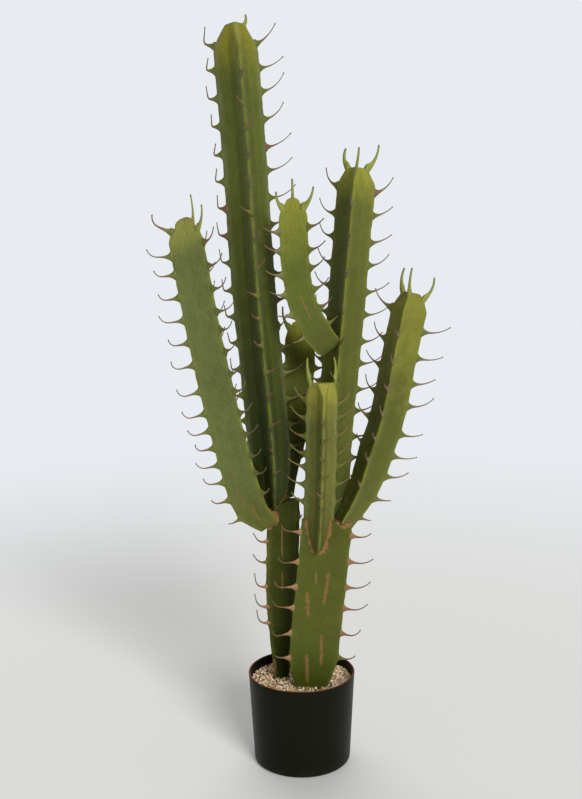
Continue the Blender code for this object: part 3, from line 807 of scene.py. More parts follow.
def lay_on_plane(points, centres, tangents, places, end, height, slope):
    """Lays one end of a limb on the plane z = height + slope x, and lets the lean fade out along the limb."""
    gap = height + slope * points[..., 0] - points[..., 2]
    middle = height + slope * centres[:, 0] - centres[:, 2]
    fall = tangents[:, 2] - slope * tangents[:, 0]
    fade = np.clip(1 - np.abs(places - places[end]) / LEAN_REACH, 0, 1)
    shift = (gap - middle[:, None] + middle[end]) * (fade / fall)[:, None]
    return points + shift[..., None] * tangents[:, None]


print("height and slope of the cuts:", {name: np.round(plane_of(name), 3).tolist() for name in CUTS})

# %% [markdown]
# ## The outline along a limb
#
# Towards a crown the hollows fill up, so that a tip is blunter than its stem. On two limbs the crown also
# slices the front rib off, which leaves a flat face that narrows upwards.

# %% The outline along a limb
FLAT_VALLEY = 0.5
LEAST_COSINE = 0.01


def read_off(stem, places):
    """A stem's centres, tangents, fronts, rights and rib radii at places along it, the last at its tip."""
    axis, tangent, front, right, along, _ = STATIONS[stem.name]
    found = [
        np.column_stack([np.interp(places, along, values[:, i]) for i in range(3)])
        for values in (axis, tangent, front, right)
    ]
    return *found, rib_radius(stem, places)


def outline_of(stem, places, azimuths):
    """The section at every place: hollows fill up towards the crown, and a tucked rib is sliced off there."""
    filled = near_tip(places, stem.crown[1])[:, None] ** 2 * (stem.crown[1] > 0)
    outline = section(stem, azimuths, stem.valley + (FLAT_VALLEY - stem.valley) * filled)
    for number, rib in enumerate(stem.ribs):
        share, length = rib.tuck
        turn = azimuths - np.radians(stem.turn) - SPREAD * number
        slice_at = 1 - share * near_tip(places, length)[:, None]
        flat = slice_at / np.maximum(np.cos(turn), LEAST_COSINE)
        sliced = (np.cos(turn) > 0) & (slice_at < 1)
        outline = np.where(sliced, soft_least(outline, flat), outline)
    return outline


front_arm = NAMED["arm_front"]
front_rib = outline_of(front_arm, rows_of(front_arm)[0], np.radians([front_arm.turn]))
print("the front arm's first rib at foot and tip, as a share:", np.round(front_rib[[0, -1], 0], 2))

# %% [markdown]
# ## The skins
#
# Now the surface itself: a point of the skin is the axis plus the rib radius times the section, laid off
# along the front and the right of that station. The slight unevenness of the mould comes on top. A crown
# ends in a low dome, and the other ends are laid on their planes. The numbers that the paint needs go with
# it.

# %% Skins
UNEVEN, UNEVEN_WAVE_SIZE, UNEVEN_WAVES = 0.00035, 0.028, 14
SKIN_SEED, SEEDS_PER_SKIN = 40, 5


def make_skin(stem, seed):
    """The skin of one limb as a closed grid, with the numbers that its paint needs."""
    places, shares = rows_of(stem)
    around = columns_of(stem)
    azimuths = around[:-1]
    centres, tangents, fronts, rights, radius = read_off(stem, places)
    outline = outline_of(stem, places, azimuths)
    reach = radius[:, None] * outline + rib_growth(stem, places, azimuths, seed)
    ways = np.cos(azimuths)[:, None] * fronts[:, None] + np.sin(azimuths)[:, None] * rights[:, None]
    points = centres[:, None] + (reach * shares[:, None])[..., None] * ways
    uneven = UNEVEN * waves(points, UNEVEN_WAVE_SIZE, UNEVEN_WAVES, seed)
    points += (uneven * shares[:, None])[..., None] * ways
    length = places[-1]
    if stem.crown[1]:
        dome = np.where(places == length, stem.crown[2] * np.sqrt(1 - shares**2), 0)
        points += (dome[:, None] * tangents)[:, None]
    else:
        points = lay_on_plane(points, centres, tangents, places, -1, *plane_of(stem.name))
        points = lay_on_plane(points, centres, tangents, places, 0, TRUNK_FOOT - SINK, 0)
    if stem.seat:
        height, slope = plane_of(stem.seat)
        points = lay_on_plane(points, centres, tangents, places, 0, height - SINK, slope)
    level = np.ones(reach.shape)
    numbers = {
        "from_tip": (length - places)[:, None] * level,
        "from_foot": places[:, None] * level,
        "rib": np.clip((outline - stem.valley) / (1 - stem.valley), 0, 1),
        "seam": seam_distance(stem, points, places),
        "scrape": scrape_mask(stem, places, azimuths, reach),
    }
    skin = closed_grid(stem.name + "_skin", points, numbers, around * stem.radius, places)
    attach(skin, "root")
    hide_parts(stem.name)
    return skin


SKINS = {stem.name: make_skin(stem, SKIN_SEED + SEEDS_PER_SKIN * i) for i, stem in enumerate(STEMS)}
for name, skin in SKINS.items():
    print(name, len(skin.data.polygons), "faces,", round(1e6 * volume(skin.data)), "cubic centimetres")

# %% [markdown]
# ## The shape of a spine
#
# A spine is a thin hook that grows out of a tall, thin web of plastic. Its profile of half-heights and
# half-widths is carried along the spine's line. The web shrinks as an exponential of the distance from the
# rib, which gives its hollow sides. Short spines are thinner, and the young horns of a crown are thicker.

# %% The shape of a spine
SPINE_SUNK = 0.0045
SHAFT, THINNING = 0.00100, 0.42
WEB_HEIGHT, WEB_WIDTH, WEB_FADE = 0.0058, 0.0011, 0.0045
FULL_LENGTH, LEAST_SHARE = 0.026, 0.6
YOUNG_SHAFT, YOUNG_FADE = 1.2, 0.5


def along_lines(lines, shares):
    """Points at shares of each line's length, from lines of shape (count, steps, 3); below 0 they go back."""
    steps = lines.shape[1] - 1
    place = np.clip(shares, 0, 1) * steps
    low = np.minimum(place.astype(int), steps - 1)
    part = (place - low)[None, :, None]
    points = lines[:, low] * (1 - part) + lines[:, low + 1] * part
    back = np.where(shares < 0, SPINE_SUNK, 0)[None, :, None]
    return points - back * unit(lines[:, 1] - lines[:, 0])[:, None]


def web(distance, youth, length, slim):
    """(half-height, half-width, fade) at a distance from the rib: a shaft, and a web that fades away."""
    fade = np.exp(-np.maximum(distance, 0) / (WEB_FADE * (1 + YOUNG_FADE * youth)))
    thick = (1 + YOUNG_SHAFT * youth**2) * np.clip(length / FULL_LENGTH, LEAST_SHARE, 1)
    shaft = SHAFT * thick * (1 - THINNING * np.clip(distance / SPINE_LENGTH, 0, 1))
    height = WEB_HEIGHT * slim * np.clip(length / FULL_LENGTH, 0, 1)
    return shaft + height * fade, shaft + WEB_WIDTH * fade, fade


heights = web(np.array([0, 0.01]), 0, SPINE_LENGTH, 1)[0]
print("half-height of a spine at its root and 1 cm out, mm:", np.round(1000 * heights, 1))

# %% [markdown]
# ## The colours along a spine
#
# A spine has a root, a shaft and a tip of different colours. They have a place along it, so they are plain
# materials dealt out ring by ring, and not a pattern. Seeded draws decide which roots are green and which
# shafts are olive, and the horns of a crown are yellow-green all over.

# %% The colours along a spine
SPINE_RINGS = np.array(
    [-1, 0, 0.03, 0.07, 0.12, 0.18, 0.25, 0.33, 0.41, 0.50, 0.59, 0.68, 0.77, 0.86, 0.93, 0.965, 0.99]
)
ROOT_SHARE, MIDDLE_SHARE, TIP_SHARE = 0.13, 0.27, 0.90
GREEN_ROOTS, GREEN_ROOTS_ON_TRUNKS = 0.97, 0.10
OLIVE_SHAFTS, OLIVE_SHAFTS_ON = 0.30, {"arm_front": 0.85}
FRESH_BETWEEN = (0.35, 0.75)
GREEN_ROOT, TAN_ROOT, OLIVE, BROWN, TIP, YOUNG = range(6)


def spine_colours(stem, rng, youth):
    """The material of each ring of faces on each spine: root, shaft and tip, or all green near a crown."""
    count = len(youth)
    old = stem.name in CUTS
    bare = TAN_ROOT if old else BROWN
    green = GREEN_ROOTS_ON_TRUNKS if old else GREEN_ROOTS
    root = np.where(rng.random(count) < green, GREEN_ROOT, bare)
    shaft = np.where(rng.random(count) < OLIVE_SHAFTS_ON.get(stem.name, OLIVE_SHAFTS), OLIVE, BROWN)
    middle = np.where(root == GREEN_ROOT, OLIVE, bare)
    rings = np.repeat(shaft[:, None], len(SPINE_RINGS), 1)
    rings = np.where(SPINE_RINGS < MIDDLE_SHARE, middle[:, None], rings)
    rings = np.where(SPINE_RINGS < ROOT_SHARE, root[:, None], rings)
    rings = np.where(SPINE_RINGS > TIP_SHARE, TIP, rings)
    fresh = youth[:, None] > rng.uniform(*FRESH_BETWEEN, (count, 1))
    return np.where(fresh, np.where(SPINE_RINGS > TIP_SHARE, OLIVE, YOUNG), rings)


print("rings:", len(SPINE_RINGS), "of which", int((SPINE_RINGS > TIP_SHARE).sum()), "are the tip's")

# %% [markdown]
# ## The spines
#
# All spines of a limb are worked out in one go and joined to one mesh. Rings of points stand square to each
# line. At the root their height follows the limb, as the web does, and farther out it turns into the plane
# of the hook. A small bead closes the tip.

# %% Spines
SPINE_SIDES = 8
SLIM_WEBS = {("trunk_left", 1): 0.45, ("trunk_right", 1): 0.80, ("trunk_right", 2): 0.80}
BEAD, BEAD_SHARES, BEAD_CAP = 0.00090, np.array([1, 0.6]), 0.3
YOUNG_BEAD = 0.4
LOOK_AHEAD = 0.02
SPINE_PAINT_SEED = 90


def turned_over(faces):
    """The same faces seen from their other side: the first corner stays and the rest run backwards."""
    return np.concatenate([faces[:, :1], faces[:, :0:-1]], 1)


def spine_points(stem):
    """The points of a limb's spines, of shape (spines, points, 3): rings along each line, and two poles."""
    found = SPINES[stem.name]
    lines = np.array([spine.line for spine in found])
    aside = np.array([spine.aside for spine in found])[:, None]
    upward = np.array([spine.upward for spine in found])[:, None]
    youth = np.array([spine.youth for spine in found])[:, None]
    slim = np.array([SLIM_WEBS.get((stem.name, spine.rib), 1) for spine in found])[:, None]
    lengths = np.linalg.norm(np.diff(lines, axis=1), axis=2).sum(1)[:, None]
    centres = along_lines(lines, SPINE_RINGS)
    outer = SPINE_RINGS[1:]
    ways = unit(along_lines(lines, outer + LOOK_AHEAD) - along_lines(lines, outer - LOOK_AHEAD))
    ways = np.concatenate([ways[:, :1], ways], 1)
    tall, wide, fade = web(SPINE_RINGS[None] * lengths, youth, lengths, slim)
    over = unit(unit(np.cross(ways, aside)) * (1 - fade[..., None]) + upward * fade[..., None])
    tall[:, -2:] = wide[:, -2:] = BEAD * BEAD_SHARES * (1 + YOUNG_BEAD * youth)
    turn = np.arange(SPINE_SIDES) / SPINE_SIDES * 2 * np.pi
    sides = np.cos(turn)[:, None] * (tall[..., None] * over)[:, :, None]
    sides = sides + np.sin(turn)[:, None] * (wide[..., None] * aside)[:, :, None]
    rings = centres[:, :, None] + sides
    tips = lines[:, -1:] + BEAD_CAP * BEAD * ways[:, -1:]
    return np.concatenate([rings.reshape(len(found), -1, 3), centres[:, :1], tips], 1)


def make_spines(stem, seed):
    """All the spines of one limb as one mesh, with a material for every ring of faces."""
    points = spine_points(stem)
    starts = np.arange(len(points)) * points.shape[1]
    faces = []
    for kind in ring_faces(len(SPINE_RINGS), SPINE_SIDES):
        shape = turned_over(kind)
        faces += (shape[None] + starts[:, None, None]).reshape(-1, shape.shape[1]).tolist()
    mesh = bpy.data.meshes.new(stem.name + "_spines")
    mesh.from_pydata(points.reshape(-1, 3), [], faces)
    youth = np.array([spine.youth for spine in SPINES[stem.name]])
    colours = spine_colours(stem, np.random.default_rng(seed), youth)
    slots = [np.repeat(colours[:, :-1], SPINE_SIDES, 1).ravel()]
    slots += [np.repeat(colours[:, 0], SPINE_SIDES), np.repeat(colours[:, -1], SPINE_SIDES)]
    mesh.polygons.foreach_set("material_index", np.concatenate(slots).astype(np.int32))
    spines = finish_mesh(mesh)
    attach(spines, "root")
    return spines


BUNCHES = {stem.name: make_spines(stem, SPINE_PAINT_SEED + number) for number, stem in enumerate(STEMS)}
for name, bunch in BUNCHES.items():
    print(name, len(bunch.data.polygons), "faces,", round(1e6 * volume(bunch.data), 2), "cubic centimetres")

# %% [markdown]
# ## The pot
#
# An injection-moulded nursery pot is a thin shell turned about one axis. Its profile runs down the inside,
# over a rounded rim, down the tapered outside and round a soft foot. Each rounding is a quarter or half
# circle of points, and the whole profile is then turned in many steps, so that no flats show on the outline.

# %% Pot
POT_STEPS = 160
WALL_POINTS, RIM_POINTS, FOOT_POINTS = 14, 9, 8
FLOOR_TOP = 0.004
INNER_CORNER = (0.003, 0.004)
FOOT_ROUND, FOOT_SWELL = 0.0055, 0.0002
NEAR_AXIS, HALFWAY = 0.0005, 0.03


def arc(centre, radius, start, stop, count):
    """Points on a circle in the (radius, height) plane between two angles in degrees."""
    angle = np.radians(np.linspace(start, stop, count))
    return np.column_stack([centre[0] + radius * np.cos(angle), centre[1] + radius * np.sin(angle)])


def pot_profile():
    """(radius, height) points from the middle of the floor's inside to the middle of the underside."""
    lean = math.degrees(math.atan2(POT_RIM - POT_FOOT, POT_HEIGHT))
    half = POT_WALL / 2
    inner = POT_FOOT - POT_WALL
    floor = [[NEAR_AXIS, FLOOR_TOP], [HALFWAY, FLOOR_TOP], [inner - INNER_CORNER[0], FLOOR_TOP]]
    radii = np.linspace(POT_FOOT, POT_RIM, WALL_POINTS)[1:-1]
    inside = np.column_stack([radii - POT_WALL, np.linspace(0, POT_HEIGHT, WALL_POINTS)[1:-1]])
    rim_arc = arc((POT_RIM - half, POT_HEIGHT - half), half, 180, 0, RIM_POINTS)
    outside = inside[::-1] + (POT_WALL, 0)
    foot_arc = arc((POT_FOOT + FOOT_SWELL - FOOT_ROUND, FOOT_ROUND), FOOT_ROUND, -lean, -90, FOOT_POINTS)
    corner = [[inner, FLOOR_TOP + INNER_CORNER[1]]]
    return np.vstack([floor, corner, inside, rim_arc, outside, foot_arc, [[HALFWAY, 0], [NEAR_AXIS, 0]]])


def turned_shell(name, profile, steps):
    """A closed surface from a profile of (radius, height) points carried round +Z, a pole at each end."""
    angle = np.arange(steps) / steps * 2 * np.pi
    around = np.append(angle, 2 * np.pi)
    radius, height = profile[:, :1], profile[:, 1:]
    points = np.stack([radius * np.cos(angle), radius * -np.sin(angle), np.repeat(height, steps, 1)], -1)
    run = np.concatenate([[0], np.cumsum(np.linalg.norm(np.diff(profile, axis=0), axis=1))])
    return closed_grid(name, points, {}, around * POT_RIM, run)


pot = turned_shell("pot_shell", pot_profile(), POT_STEPS)
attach(pot, "root")
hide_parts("pot")
print("pot shell:", len(pot.data.polygons), "faces,", round(1e6 * volume(pot.data)), "cubic centimetres")

# %% [markdown]
# ## The gravel
#
# The pot is topped up with crushed marble: rice-like chips of three to five millimetres, cream, beige and
# pink, with brown shadows in the gaps. The bed below them stays as it is. One small chip of twelve points is
# repeated with its own size, turn and tilt, in three thin layers that rise a little towards the trunks.

# %% The shape of a chip
CHIP_SIDES = 5
# Each ring: its place along the chip, and how far it is turned.
CHIP_RINGS = ((-0.26, 0.0), (0.24, 0.6))


def chip_shape():
    """A rough barrel along X, one unit long, of two rings of points and two poles: (points, triangles)."""
    turn = np.arange(CHIP_SIDES) / CHIP_SIDES * 2 * np.pi
    rings = [
        np.column_stack([np.full(CHIP_SIDES, x), 0.5 * np.cos(turn + skew), 0.5 * np.sin(turn + skew)])
        for x, skew in CHIP_RINGS
    ]
    points = np.vstack([*rings, [[-0.5, 0.0, 0.0], [0.5, 0.0, 0.0]]])
    here, there = np.arange(CHIP_SIDES), (np.arange(CHIP_SIDES) + 1) % CHIP_SIDES
    above, beyond = here + CHIP_SIDES, there + CHIP_SIDES
    low, high = (np.full(CHIP_SIDES, 2 * CHIP_SIDES + pole) for pole in (0, 1))
    corners = ((there, above, here), (beyond, above, there), (low, there, here), (high, above, beyond))
    return points, np.vstack([np.column_stack(three) for three in corners])


print("triangles of a chip:", len(chip_shape()[1]))

# %% Gravel chips
CHIP_COUNT = 4500
CHIP_SEED = 23
CHIP_LENGTHS, CHIP_WIDTHS = (0.0031, 0.0061), (0.0016, 0.0027)
CHIP_BUMPS, CHIP_TILT = 0.22, 0.25
CHIP_LAYERS, LAYER_RISE, CHIP_LIFT = 3, 0.0010, 0.0005
HEAP = 0.0022
WALL_MARGIN, TRUNK_OVERLAP, PROBE_HEIGHT = 0.0018, 0.0005, 0.003
CHIP_SHARES = (0.26, 0.20, 0.16, 0.20, 0.10, 0.08)
# painted shade: the two dark tints of the lowest layer stand for the shadows in the gaps
DARK_TINTS = (6, 7)


def turns(yaw, pitch, roll):
    """Rotation matrices, roll about X first, then pitch about Y, then yaw about Z."""
    cy, sy, cp, sp, cr, sr = (f(a) for a in (yaw, pitch, roll) for f in (np.cos, np.sin))
    rows = [
        [cy * cp, cy * sp * sr - sy * cr, cy * sp * cr + sy * sr],
        [sy * cp, sy * sp * sr + cy * cr, sy * sp * cr - cy * sr],
        [-sp, cp * sr, cp * cr],
    ]
    return np.array(rows).transpose(2, 0, 1)


def chip_places(rng):
    """The middles of the chips and their layers: spread evenly over the bed, and none inside a trunk."""
    wall = POT_FOOT + (POT_RIM - POT_FOOT) * GRAVEL_TOP / POT_HEIGHT - POT_WALL
    reach = wall - WALL_MARGIN
    radius = reach * np.sqrt(rng.random(CHIP_COUNT))
    angle = rng.random(CHIP_COUNT) * 2 * np.pi
    layer = rng.integers(0, CHIP_LAYERS, CHIP_COUNT)
    heap = HEAP * (1 - (radius / reach) ** 2) * (layer + 1) / CHIP_LAYERS
    height = GRAVEL_TOP + CHIP_LIFT + LAYER_RISE * layer + heap
    middles = np.column_stack([radius * np.cos(angle), radius * np.sin(angle), height])
    probes = middles * (1, 1, 0) + (0, 0, TRUNK_FOOT + PROBE_HEIGHT)
    clear = np.all([gap_to(probes, NAMED[name]) > -TRUNK_OVERLAP for name in CUTS], axis=0)
    return middles[clear], layer[clear]


def make_chips():
    """All chips as one mesh: the shape with seeded bumps and size, turned, tilted and moved to its place."""
    rng = np.random.default_rng(CHIP_SEED)
    middles, layer = chip_places(rng)
    count = len(middles)
    shape, triangles = chip_shape()
    size = np.column_stack([rng.uniform(*CHIP_LENGTHS, count), rng.uniform(*CHIP_WIDTHS, (count, 2))])
    rough = 1 + CHIP_BUMPS * rng.uniform(-1, 1, (count, len(shape), 3))
    yaw = rng.uniform(0, 2 * np.pi, count)
    pitch = rng.normal(0, CHIP_TILT, count)
    roll = rng.uniform(0, 2 * np.pi, count)
    points = np.einsum("nij,nkj->nki", turns(yaw, pitch, roll), shape[None] * rough * size[:, None])
    mesh = bpy.data.meshes.new("gravel_chips")
    faces = (triangles[None] + np.arange(count)[:, None, None] * len(shape)).reshape(-1, 3)
    mesh.from_pydata((points + middles[:, None]).reshape(-1, 3), [], faces.tolist())
    light = rng.choice(len(CHIP_SHARES), count, p=CHIP_SHARES)
    # painted shade: the lowest layer takes the dark tints, for the shadows in the gaps between chips
    tints = np.where(layer == 0, rng.choice(DARK_TINTS, count), light)
    stones = finish_mesh(mesh)
    mesh.polygons.foreach_set("material_index", np.repeat(tints, len(triangles)).astype(np.int32))
    mesh.shade_flat()
    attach(stones, "root")
    return stones


chips = make_chips()
print("chips:", len(chips.data.polygons), "faces,", round(1e6 * volume(chips.data), 1), "cubic centimetres")

# %% [markdown]
# ## Tools for paint
#
# Materials are trees of nodes. A few small helpers keep the code that builds them readable: one turns screen
# colours into the linear ones that a shader wants, one places a node and joins it up, and others do a sum, a
# soft step or a mix of two colours.

# %% Tools for paint


def tint(red, green, blue):
    """A screen colour of 0 to 255 as a linear one, by the standard curve of screens."""
    screen = np.array([red, green, blue]) / 255
    linear = np.where(screen <= 0.04045, screen / 12.92, ((screen + 0.055) / 1.055) ** 2.4)
    return (*(float(value) for value in linear), 1.0)


def feed(tree, node, values):
    """Gives a node its inputs: a socket is linked, and anything else is set. The node comes back."""
    for label, value in values.items():
        if isinstance(value, bpy.types.NodeSocket):
            tree.links.new(value, node.inputs[label])
        else:
            node.inputs[label].default_value = value
    return node


def put(tree, kind, values=None, **settings):
    """Adds a node: settings are its properties, and values its inputs."""
    node = tree.nodes.new("ShaderNode" + kind)
    for label, value in settings.items():
        setattr(node, label, value)
    return feed(tree, node, values or {})


def calc(tree, operation, first, second=0.0, third=0.0):
    """The result of one sum."""
    return put(tree, "Math", {0: first, 1: second, 2: third}, operation=operation).outputs[0]


def product(tree, first, *others):
    """All the factors multiplied."""
    for other in others:
        first = calc(tree, "MULTIPLY", first, other)
    return first


def about_one(tree, pattern, depth):
    """A pattern between 0 and 1, laid out evenly round 1: 1 + depth (pattern - 1/2)."""
    return calc(tree, "MULTIPLY_ADD", pattern, depth, 1 - depth / 2)


def ease(tree, value, start, stop, low=0.0, high=1.0):
    """A smooth step: low up to start, high from stop on."""
    values = {"Value": value, "From Min": start, "From Max": stop, "To Min": low, "To Max": high}
    return put(tree, "MapRange", values, interpolation_type="SMOOTHSTEP").outputs["Result"]


def blend_colours(tree, share, first, second):
    """The first colour where the share is 0, the second where it is 1."""
    return put(tree, "Mix", {0: share, 6: first, 7: second}, data_type="RGBA").outputs[2]


print("dark olive as a linear colour:", np.round(tint(90, 97, 33), 3))

# %% [markdown]
# ## Where a pattern lies
#
# A pattern needs coordinates. A mottled one takes the place in the object itself, in metres. One that runs
# along a limb takes the skin's own map, drawn out lengthwise, so that its spots become streaks. And what has
# to keep a distance from something reads a number that rides on the skin's points.

# %% Coordinates and noises


def place_of(tree):
    """The place in the object, in metres."""
    return put(tree, "TexCoord").outputs["Object"]


def drawn_out(tree, share):
    """The skin's map with its lengthwise side shrunk to a share, which draws a pattern out by as much."""
    flat = put(tree, "UVMap", uv_map=MAP_NAME).outputs[0]
    return put(tree, "Mapping", {"Vector": flat, "Scale": (1, share, 1)}).outputs[0]


def number(tree, label):
    """A number that rides on the mesh's points."""
    return put(tree, "Attribute", attribute_name=label).outputs["Fac"]


def noise(tree, vector, scale, detail=2.0, roughness=0.5):
    """A soft noise between 0 and 1 with scale spots to the metre, some finer layers, and their strength."""
    values = {"Vector": vector, "Scale": scale, "Detail": detail, "Roughness": roughness}
    return put(tree, "TexNoise", values).outputs[0]


layers = SKINS["stem_tall"].data.attributes
print("numbers on a skin:", ", ".join(layer.name for layer in layers if layer.data_type == "FLOAT"))

# %% [markdown]
# ## Groups and materials
#
# An effect that several materials share is a node group with named inputs, built once and placed in each of
# them with its own values. A limb, the pot and the grit then end alike: a colour, how matt and how glossy
# they are, and a height that a bump node turns into relief.

# %% Groups and materials


def new_group(name, inputs, outputs):
    """A node group with named sockets. An input's kind follows its value: a tuple is a colour."""
    tree = bpy.data.node_groups.new(name, "ShaderNodeTree")
    for label, value in inputs.items():
        kind = "NodeSocketColor" if isinstance(value, tuple) else "NodeSocketFloat"
        tree.interface.new_socket(label, in_out="INPUT", socket_type=kind).default_value = value
    for label, kind in outputs.items():
        tree.interface.new_socket(label, in_out="OUTPUT", socket_type="NodeSocket" + kind)
    return tree, tree.nodes.new("NodeGroupInput").outputs, tree.nodes.new("NodeGroupOutput")


def use_group(tree, group, values):
    """Places a group with its own values, and gives its outputs."""
    return put(tree, "Group", values, node_tree=group).outputs


def new_material(name):
    """A material with a plain shader: (material, tree, shader)."""
    material = bpy.data.materials.new(name)
    material.use_nodes = True
    tree = material.node_tree
    return material, tree, tree.nodes["Principled BSDF"]


def dress(tree, shader, colour, roughness, specular, height, depth, strength=1.0):
    """Joins up a shader: colour, how matt and how glossy it is, and a height of depth metres as a bump."""
    bump = put(tree, "Bump", {"Strength": strength, "Distance": depth, "Height": height}).outputs[0]
    values = {"Base Color": colour, "Roughness": roughness, "Specular IOR Level": specular, "Normal": bump}
    feed(tree, shader, values)


def plain_material(name, colour, roughness, specular):
    """One colour all over, and nothing else."""
    material, tree, shader = new_material(name)
    feed(tree, shader, {"Base Color": colour, "Roughness": roughness, "Specular IOR Level": specular})
    return material


print("node groups so far:", len(bpy.data.node_groups))

# %% [markdown]
# ## How a limb is coloured
#
# The plastic is dyed olive green and then sprayed by hand: yellow-green over the top, a paler bloom beside
# the ribs, and a thin bright line along each rib's edge. It is also darker towards the foot. That is partly
# the spray and partly painted shade, where the lower parts lie under the limbs above. All of it follows the
# limb, so it is driven by the numbers on the skin's points. A little noise keeps the sprayed borders soft and
# uneven.

# %% Limb colour
PATCHES = (38, 3, 0.6)
SPECKS = (400, 2, 0.6)
STREAKS, STREAK_STRETCH = (420, 2, 0.55), 0.06
BORDER_WANDER = 1.1
BLOOM_RISE, BLOOM_FALL, EDGE_RISE = (0.42, 0.80), (0.98, 0.88), (0.78, 0.94)
SHADES = (0.44, 0.12, 0.36)


def build_limb_colour():
    """Body, tip and foot by distance from the ends, bloom beside the ribs, edges, then a mottled shade."""
    inputs = {
        "Body": tint(90, 97, 33),
        "Tip": tint(132, 124, 40),
        "Foot": tint(80, 86, 26),
        "Bloom": tint(130, 124, 63),
        "Edge": tint(120, 126, 40),
        "Tip Length": 0.06,
        "Foot Length": 0.10,
        "Bloom Amount": 0.2,
        "Edge Amount": 0.6,
    }
    tree, inside, outside = new_group("limb_colour", inputs, {"Color": "Color"})
    place = place_of(tree)
    patches, specks = noise(tree, place, *PATCHES), noise(tree, place, *SPECKS)
    streaks = noise(tree, drawn_out(tree, STREAK_STRETCH), *STREAKS)
    wander = about_one(tree, patches, BORDER_WANDER)
    colour = inside["Body"]
    # Darker towards the foot: the Foot tint is partly the spray and partly painted shade from the limbs
    # above.
    for end, label in (("Tip", "from_tip"), ("Foot", "from_foot")):
        reach = product(tree, inside[end + " Length"], wander)
        near = ease(tree, calc(tree, "DIVIDE", number(tree, label), reach), 1.0, 0.0)
        colour = blend_colours(tree, near, colour, inside[end])
    rib = number(tree, "rib")
    torn = ease(tree, streaks, 0.30, 0.75, 0.35, 1.0)
    band = product(tree, ease(tree, rib, *BLOOM_RISE), ease(tree, rib, *BLOOM_FALL))
    bloom = product(tree, band, inside["Bloom Amount"], torn)
    edge = product(tree, ease(tree, rib, *EDGE_RISE), inside["Edge Amount"], ease(tree, patches, 0.30, 0.62))
    colour = blend_colours(tree, bloom, colour, inside["Bloom"])
    colour = blend_colours(tree, edge, colour, inside["Edge"])
    shades = [about_one(tree, *pair) for pair in zip((patches, streaks, specks), SHADES)]
    shaded = put(tree, "VectorMath", {0: colour, "Scale": product(tree, *shades)}, operation="SCALE")
    feed(tree, outside, {"Color": shaded.outputs[0]})
    return tree


LIMB_COLOUR = build_limb_colour()
print("limb colour:", len(LIMB_COLOUR.nodes), "nodes")

# %% [markdown]
# ## Glue and scrapes
#
# Where limbs are glued together a salmon-brown smear shows, a few millimetres wide and torn into patches.
# The brushed marks on the trunks are the same paint. Both start from a smooth mask on the skin and are
# broken up by noise: the smear by a coarse one that moves its border, the marks by a fine one that runs
# along the limb.

# %% Glue and scrapes
TEARS, TEAR_DEPTH, LEAST_SEAM = (130, 3, 0.65), 3.2, 0.0004
BRUSH, BRUSH_STRETCH, BRUSH_DEPTH = (620, 4, 0.7), 0.30, 4.0
GLUE_COVER = 0.85


def build_marks():
    """A colour with glue near the seams and scrapes laid over it."""
    inputs = {
        "Color": tint(90, 108, 50),
        "Glue": tint(142, 102, 68),
        "Scrape": tint(142, 100, 66),
        "Seam Width": 0.0015,
    }
    tree, inside, outside = new_group("glue_and_scrapes", inputs, {"Color": "Color"})
    torn = noise(tree, place_of(tree), *TEARS)
    brushed = noise(tree, drawn_out(tree, BRUSH_STRETCH), *BRUSH)
    width = product(tree, inside["Seam Width"], about_one(tree, torn, TEAR_DEPTH))
    from_seam = calc(tree, "DIVIDE", number(tree, "seam"), calc(tree, "MAXIMUM", width, LEAST_SEAM))
    glue = product(tree, ease(tree, from_seam, 1.25, 0.75), ease(tree, brushed, 0.25, 0.60, 0.45, 1.0))
    scrape = number(tree, "scrape")
    worn = calc(tree, "ADD", scrape, calc(tree, "MULTIPLY_ADD", brushed, BRUSH_DEPTH, -BRUSH_DEPTH / 2))
    scraped = product(tree, ease(tree, worn, 0.40, 1.10), ease(tree, scrape, 0.05, 0.50, 0.0, 0.80))
    colour = blend_colours(tree, scraped, inside["Color"], inside["Scrape"])
    colour = blend_colours(tree, product(tree, glue, GLUE_COVER), colour, inside["Glue"])
    feed(tree, outside, {"Color": colour})
    return tree


MARKS = build_marks()
print("glue and scrapes:", len(MARKS.nodes), "nodes")

# %% [markdown]
# ## The feel of the surface
#
# Close up the plastic is leathery: a fine grain of a millimetre and shallow wrinkles that run along the
# limb. One group gives the height of both and a number for how matt the spot is. The pot uses it too, with a
# finer grain and no wrinkles.

# %% Surface relief
FOLDS, FOLD_STRETCH = (260, 3, 0.6), 0.16
SWELL = (95, 2, 0.5)
GRAIN_HEIGHT, SWELL_HEIGHT = 0.50, 0.8


def build_relief():
    """The height is a sum of grain, wrinkles and swell, and the swell also makes spots more or less matt."""
    inputs = {"Grain": 430.0, "Wrinkles": 0.5, "Matt": 0.5, "Matt Range": 0.15}
    outputs = {"Height": "Float", "Roughness": "Float"}
    tree, inside, outside = new_group("leathery_relief", inputs, outputs)
    place = place_of(tree)
    grain = product(tree, noise(tree, place, inside["Grain"]), GRAIN_HEIGHT)
    folds = product(tree, noise(tree, drawn_out(tree, FOLD_STRETCH), *FOLDS), inside["Wrinkles"])
    swell = noise(tree, place, *SWELL)
    height = calc(tree, "ADD", calc(tree, "ADD", grain, folds), product(tree, swell, SWELL_HEIGHT))
    uneven = calc(tree, "SUBTRACT", swell, 0.5)
    matt = calc(tree, "MULTIPLY_ADD", uneven, inside["Matt Range"], inside["Matt"])
    feed(tree, outside, {"Height": height, "Roughness": matt})
    return tree


RELIEF = build_relief()
print("relief:", len(RELIEF.nodes), "nodes")

# %% [markdown]
# ## Each limb's own finish
#
# No two limbs were sprayed alike. The youngest ones are yellow-green, the trunks a flat mid green, and the
# front arm has a pale grey bloom. Some tints also carry painted shade: the left trunk, the back stem and the
# tall stem's long foot are darkened for the shadow that other limbs throw on them. So every limb gets its own
# material from the same three groups.

# %% Limb materials


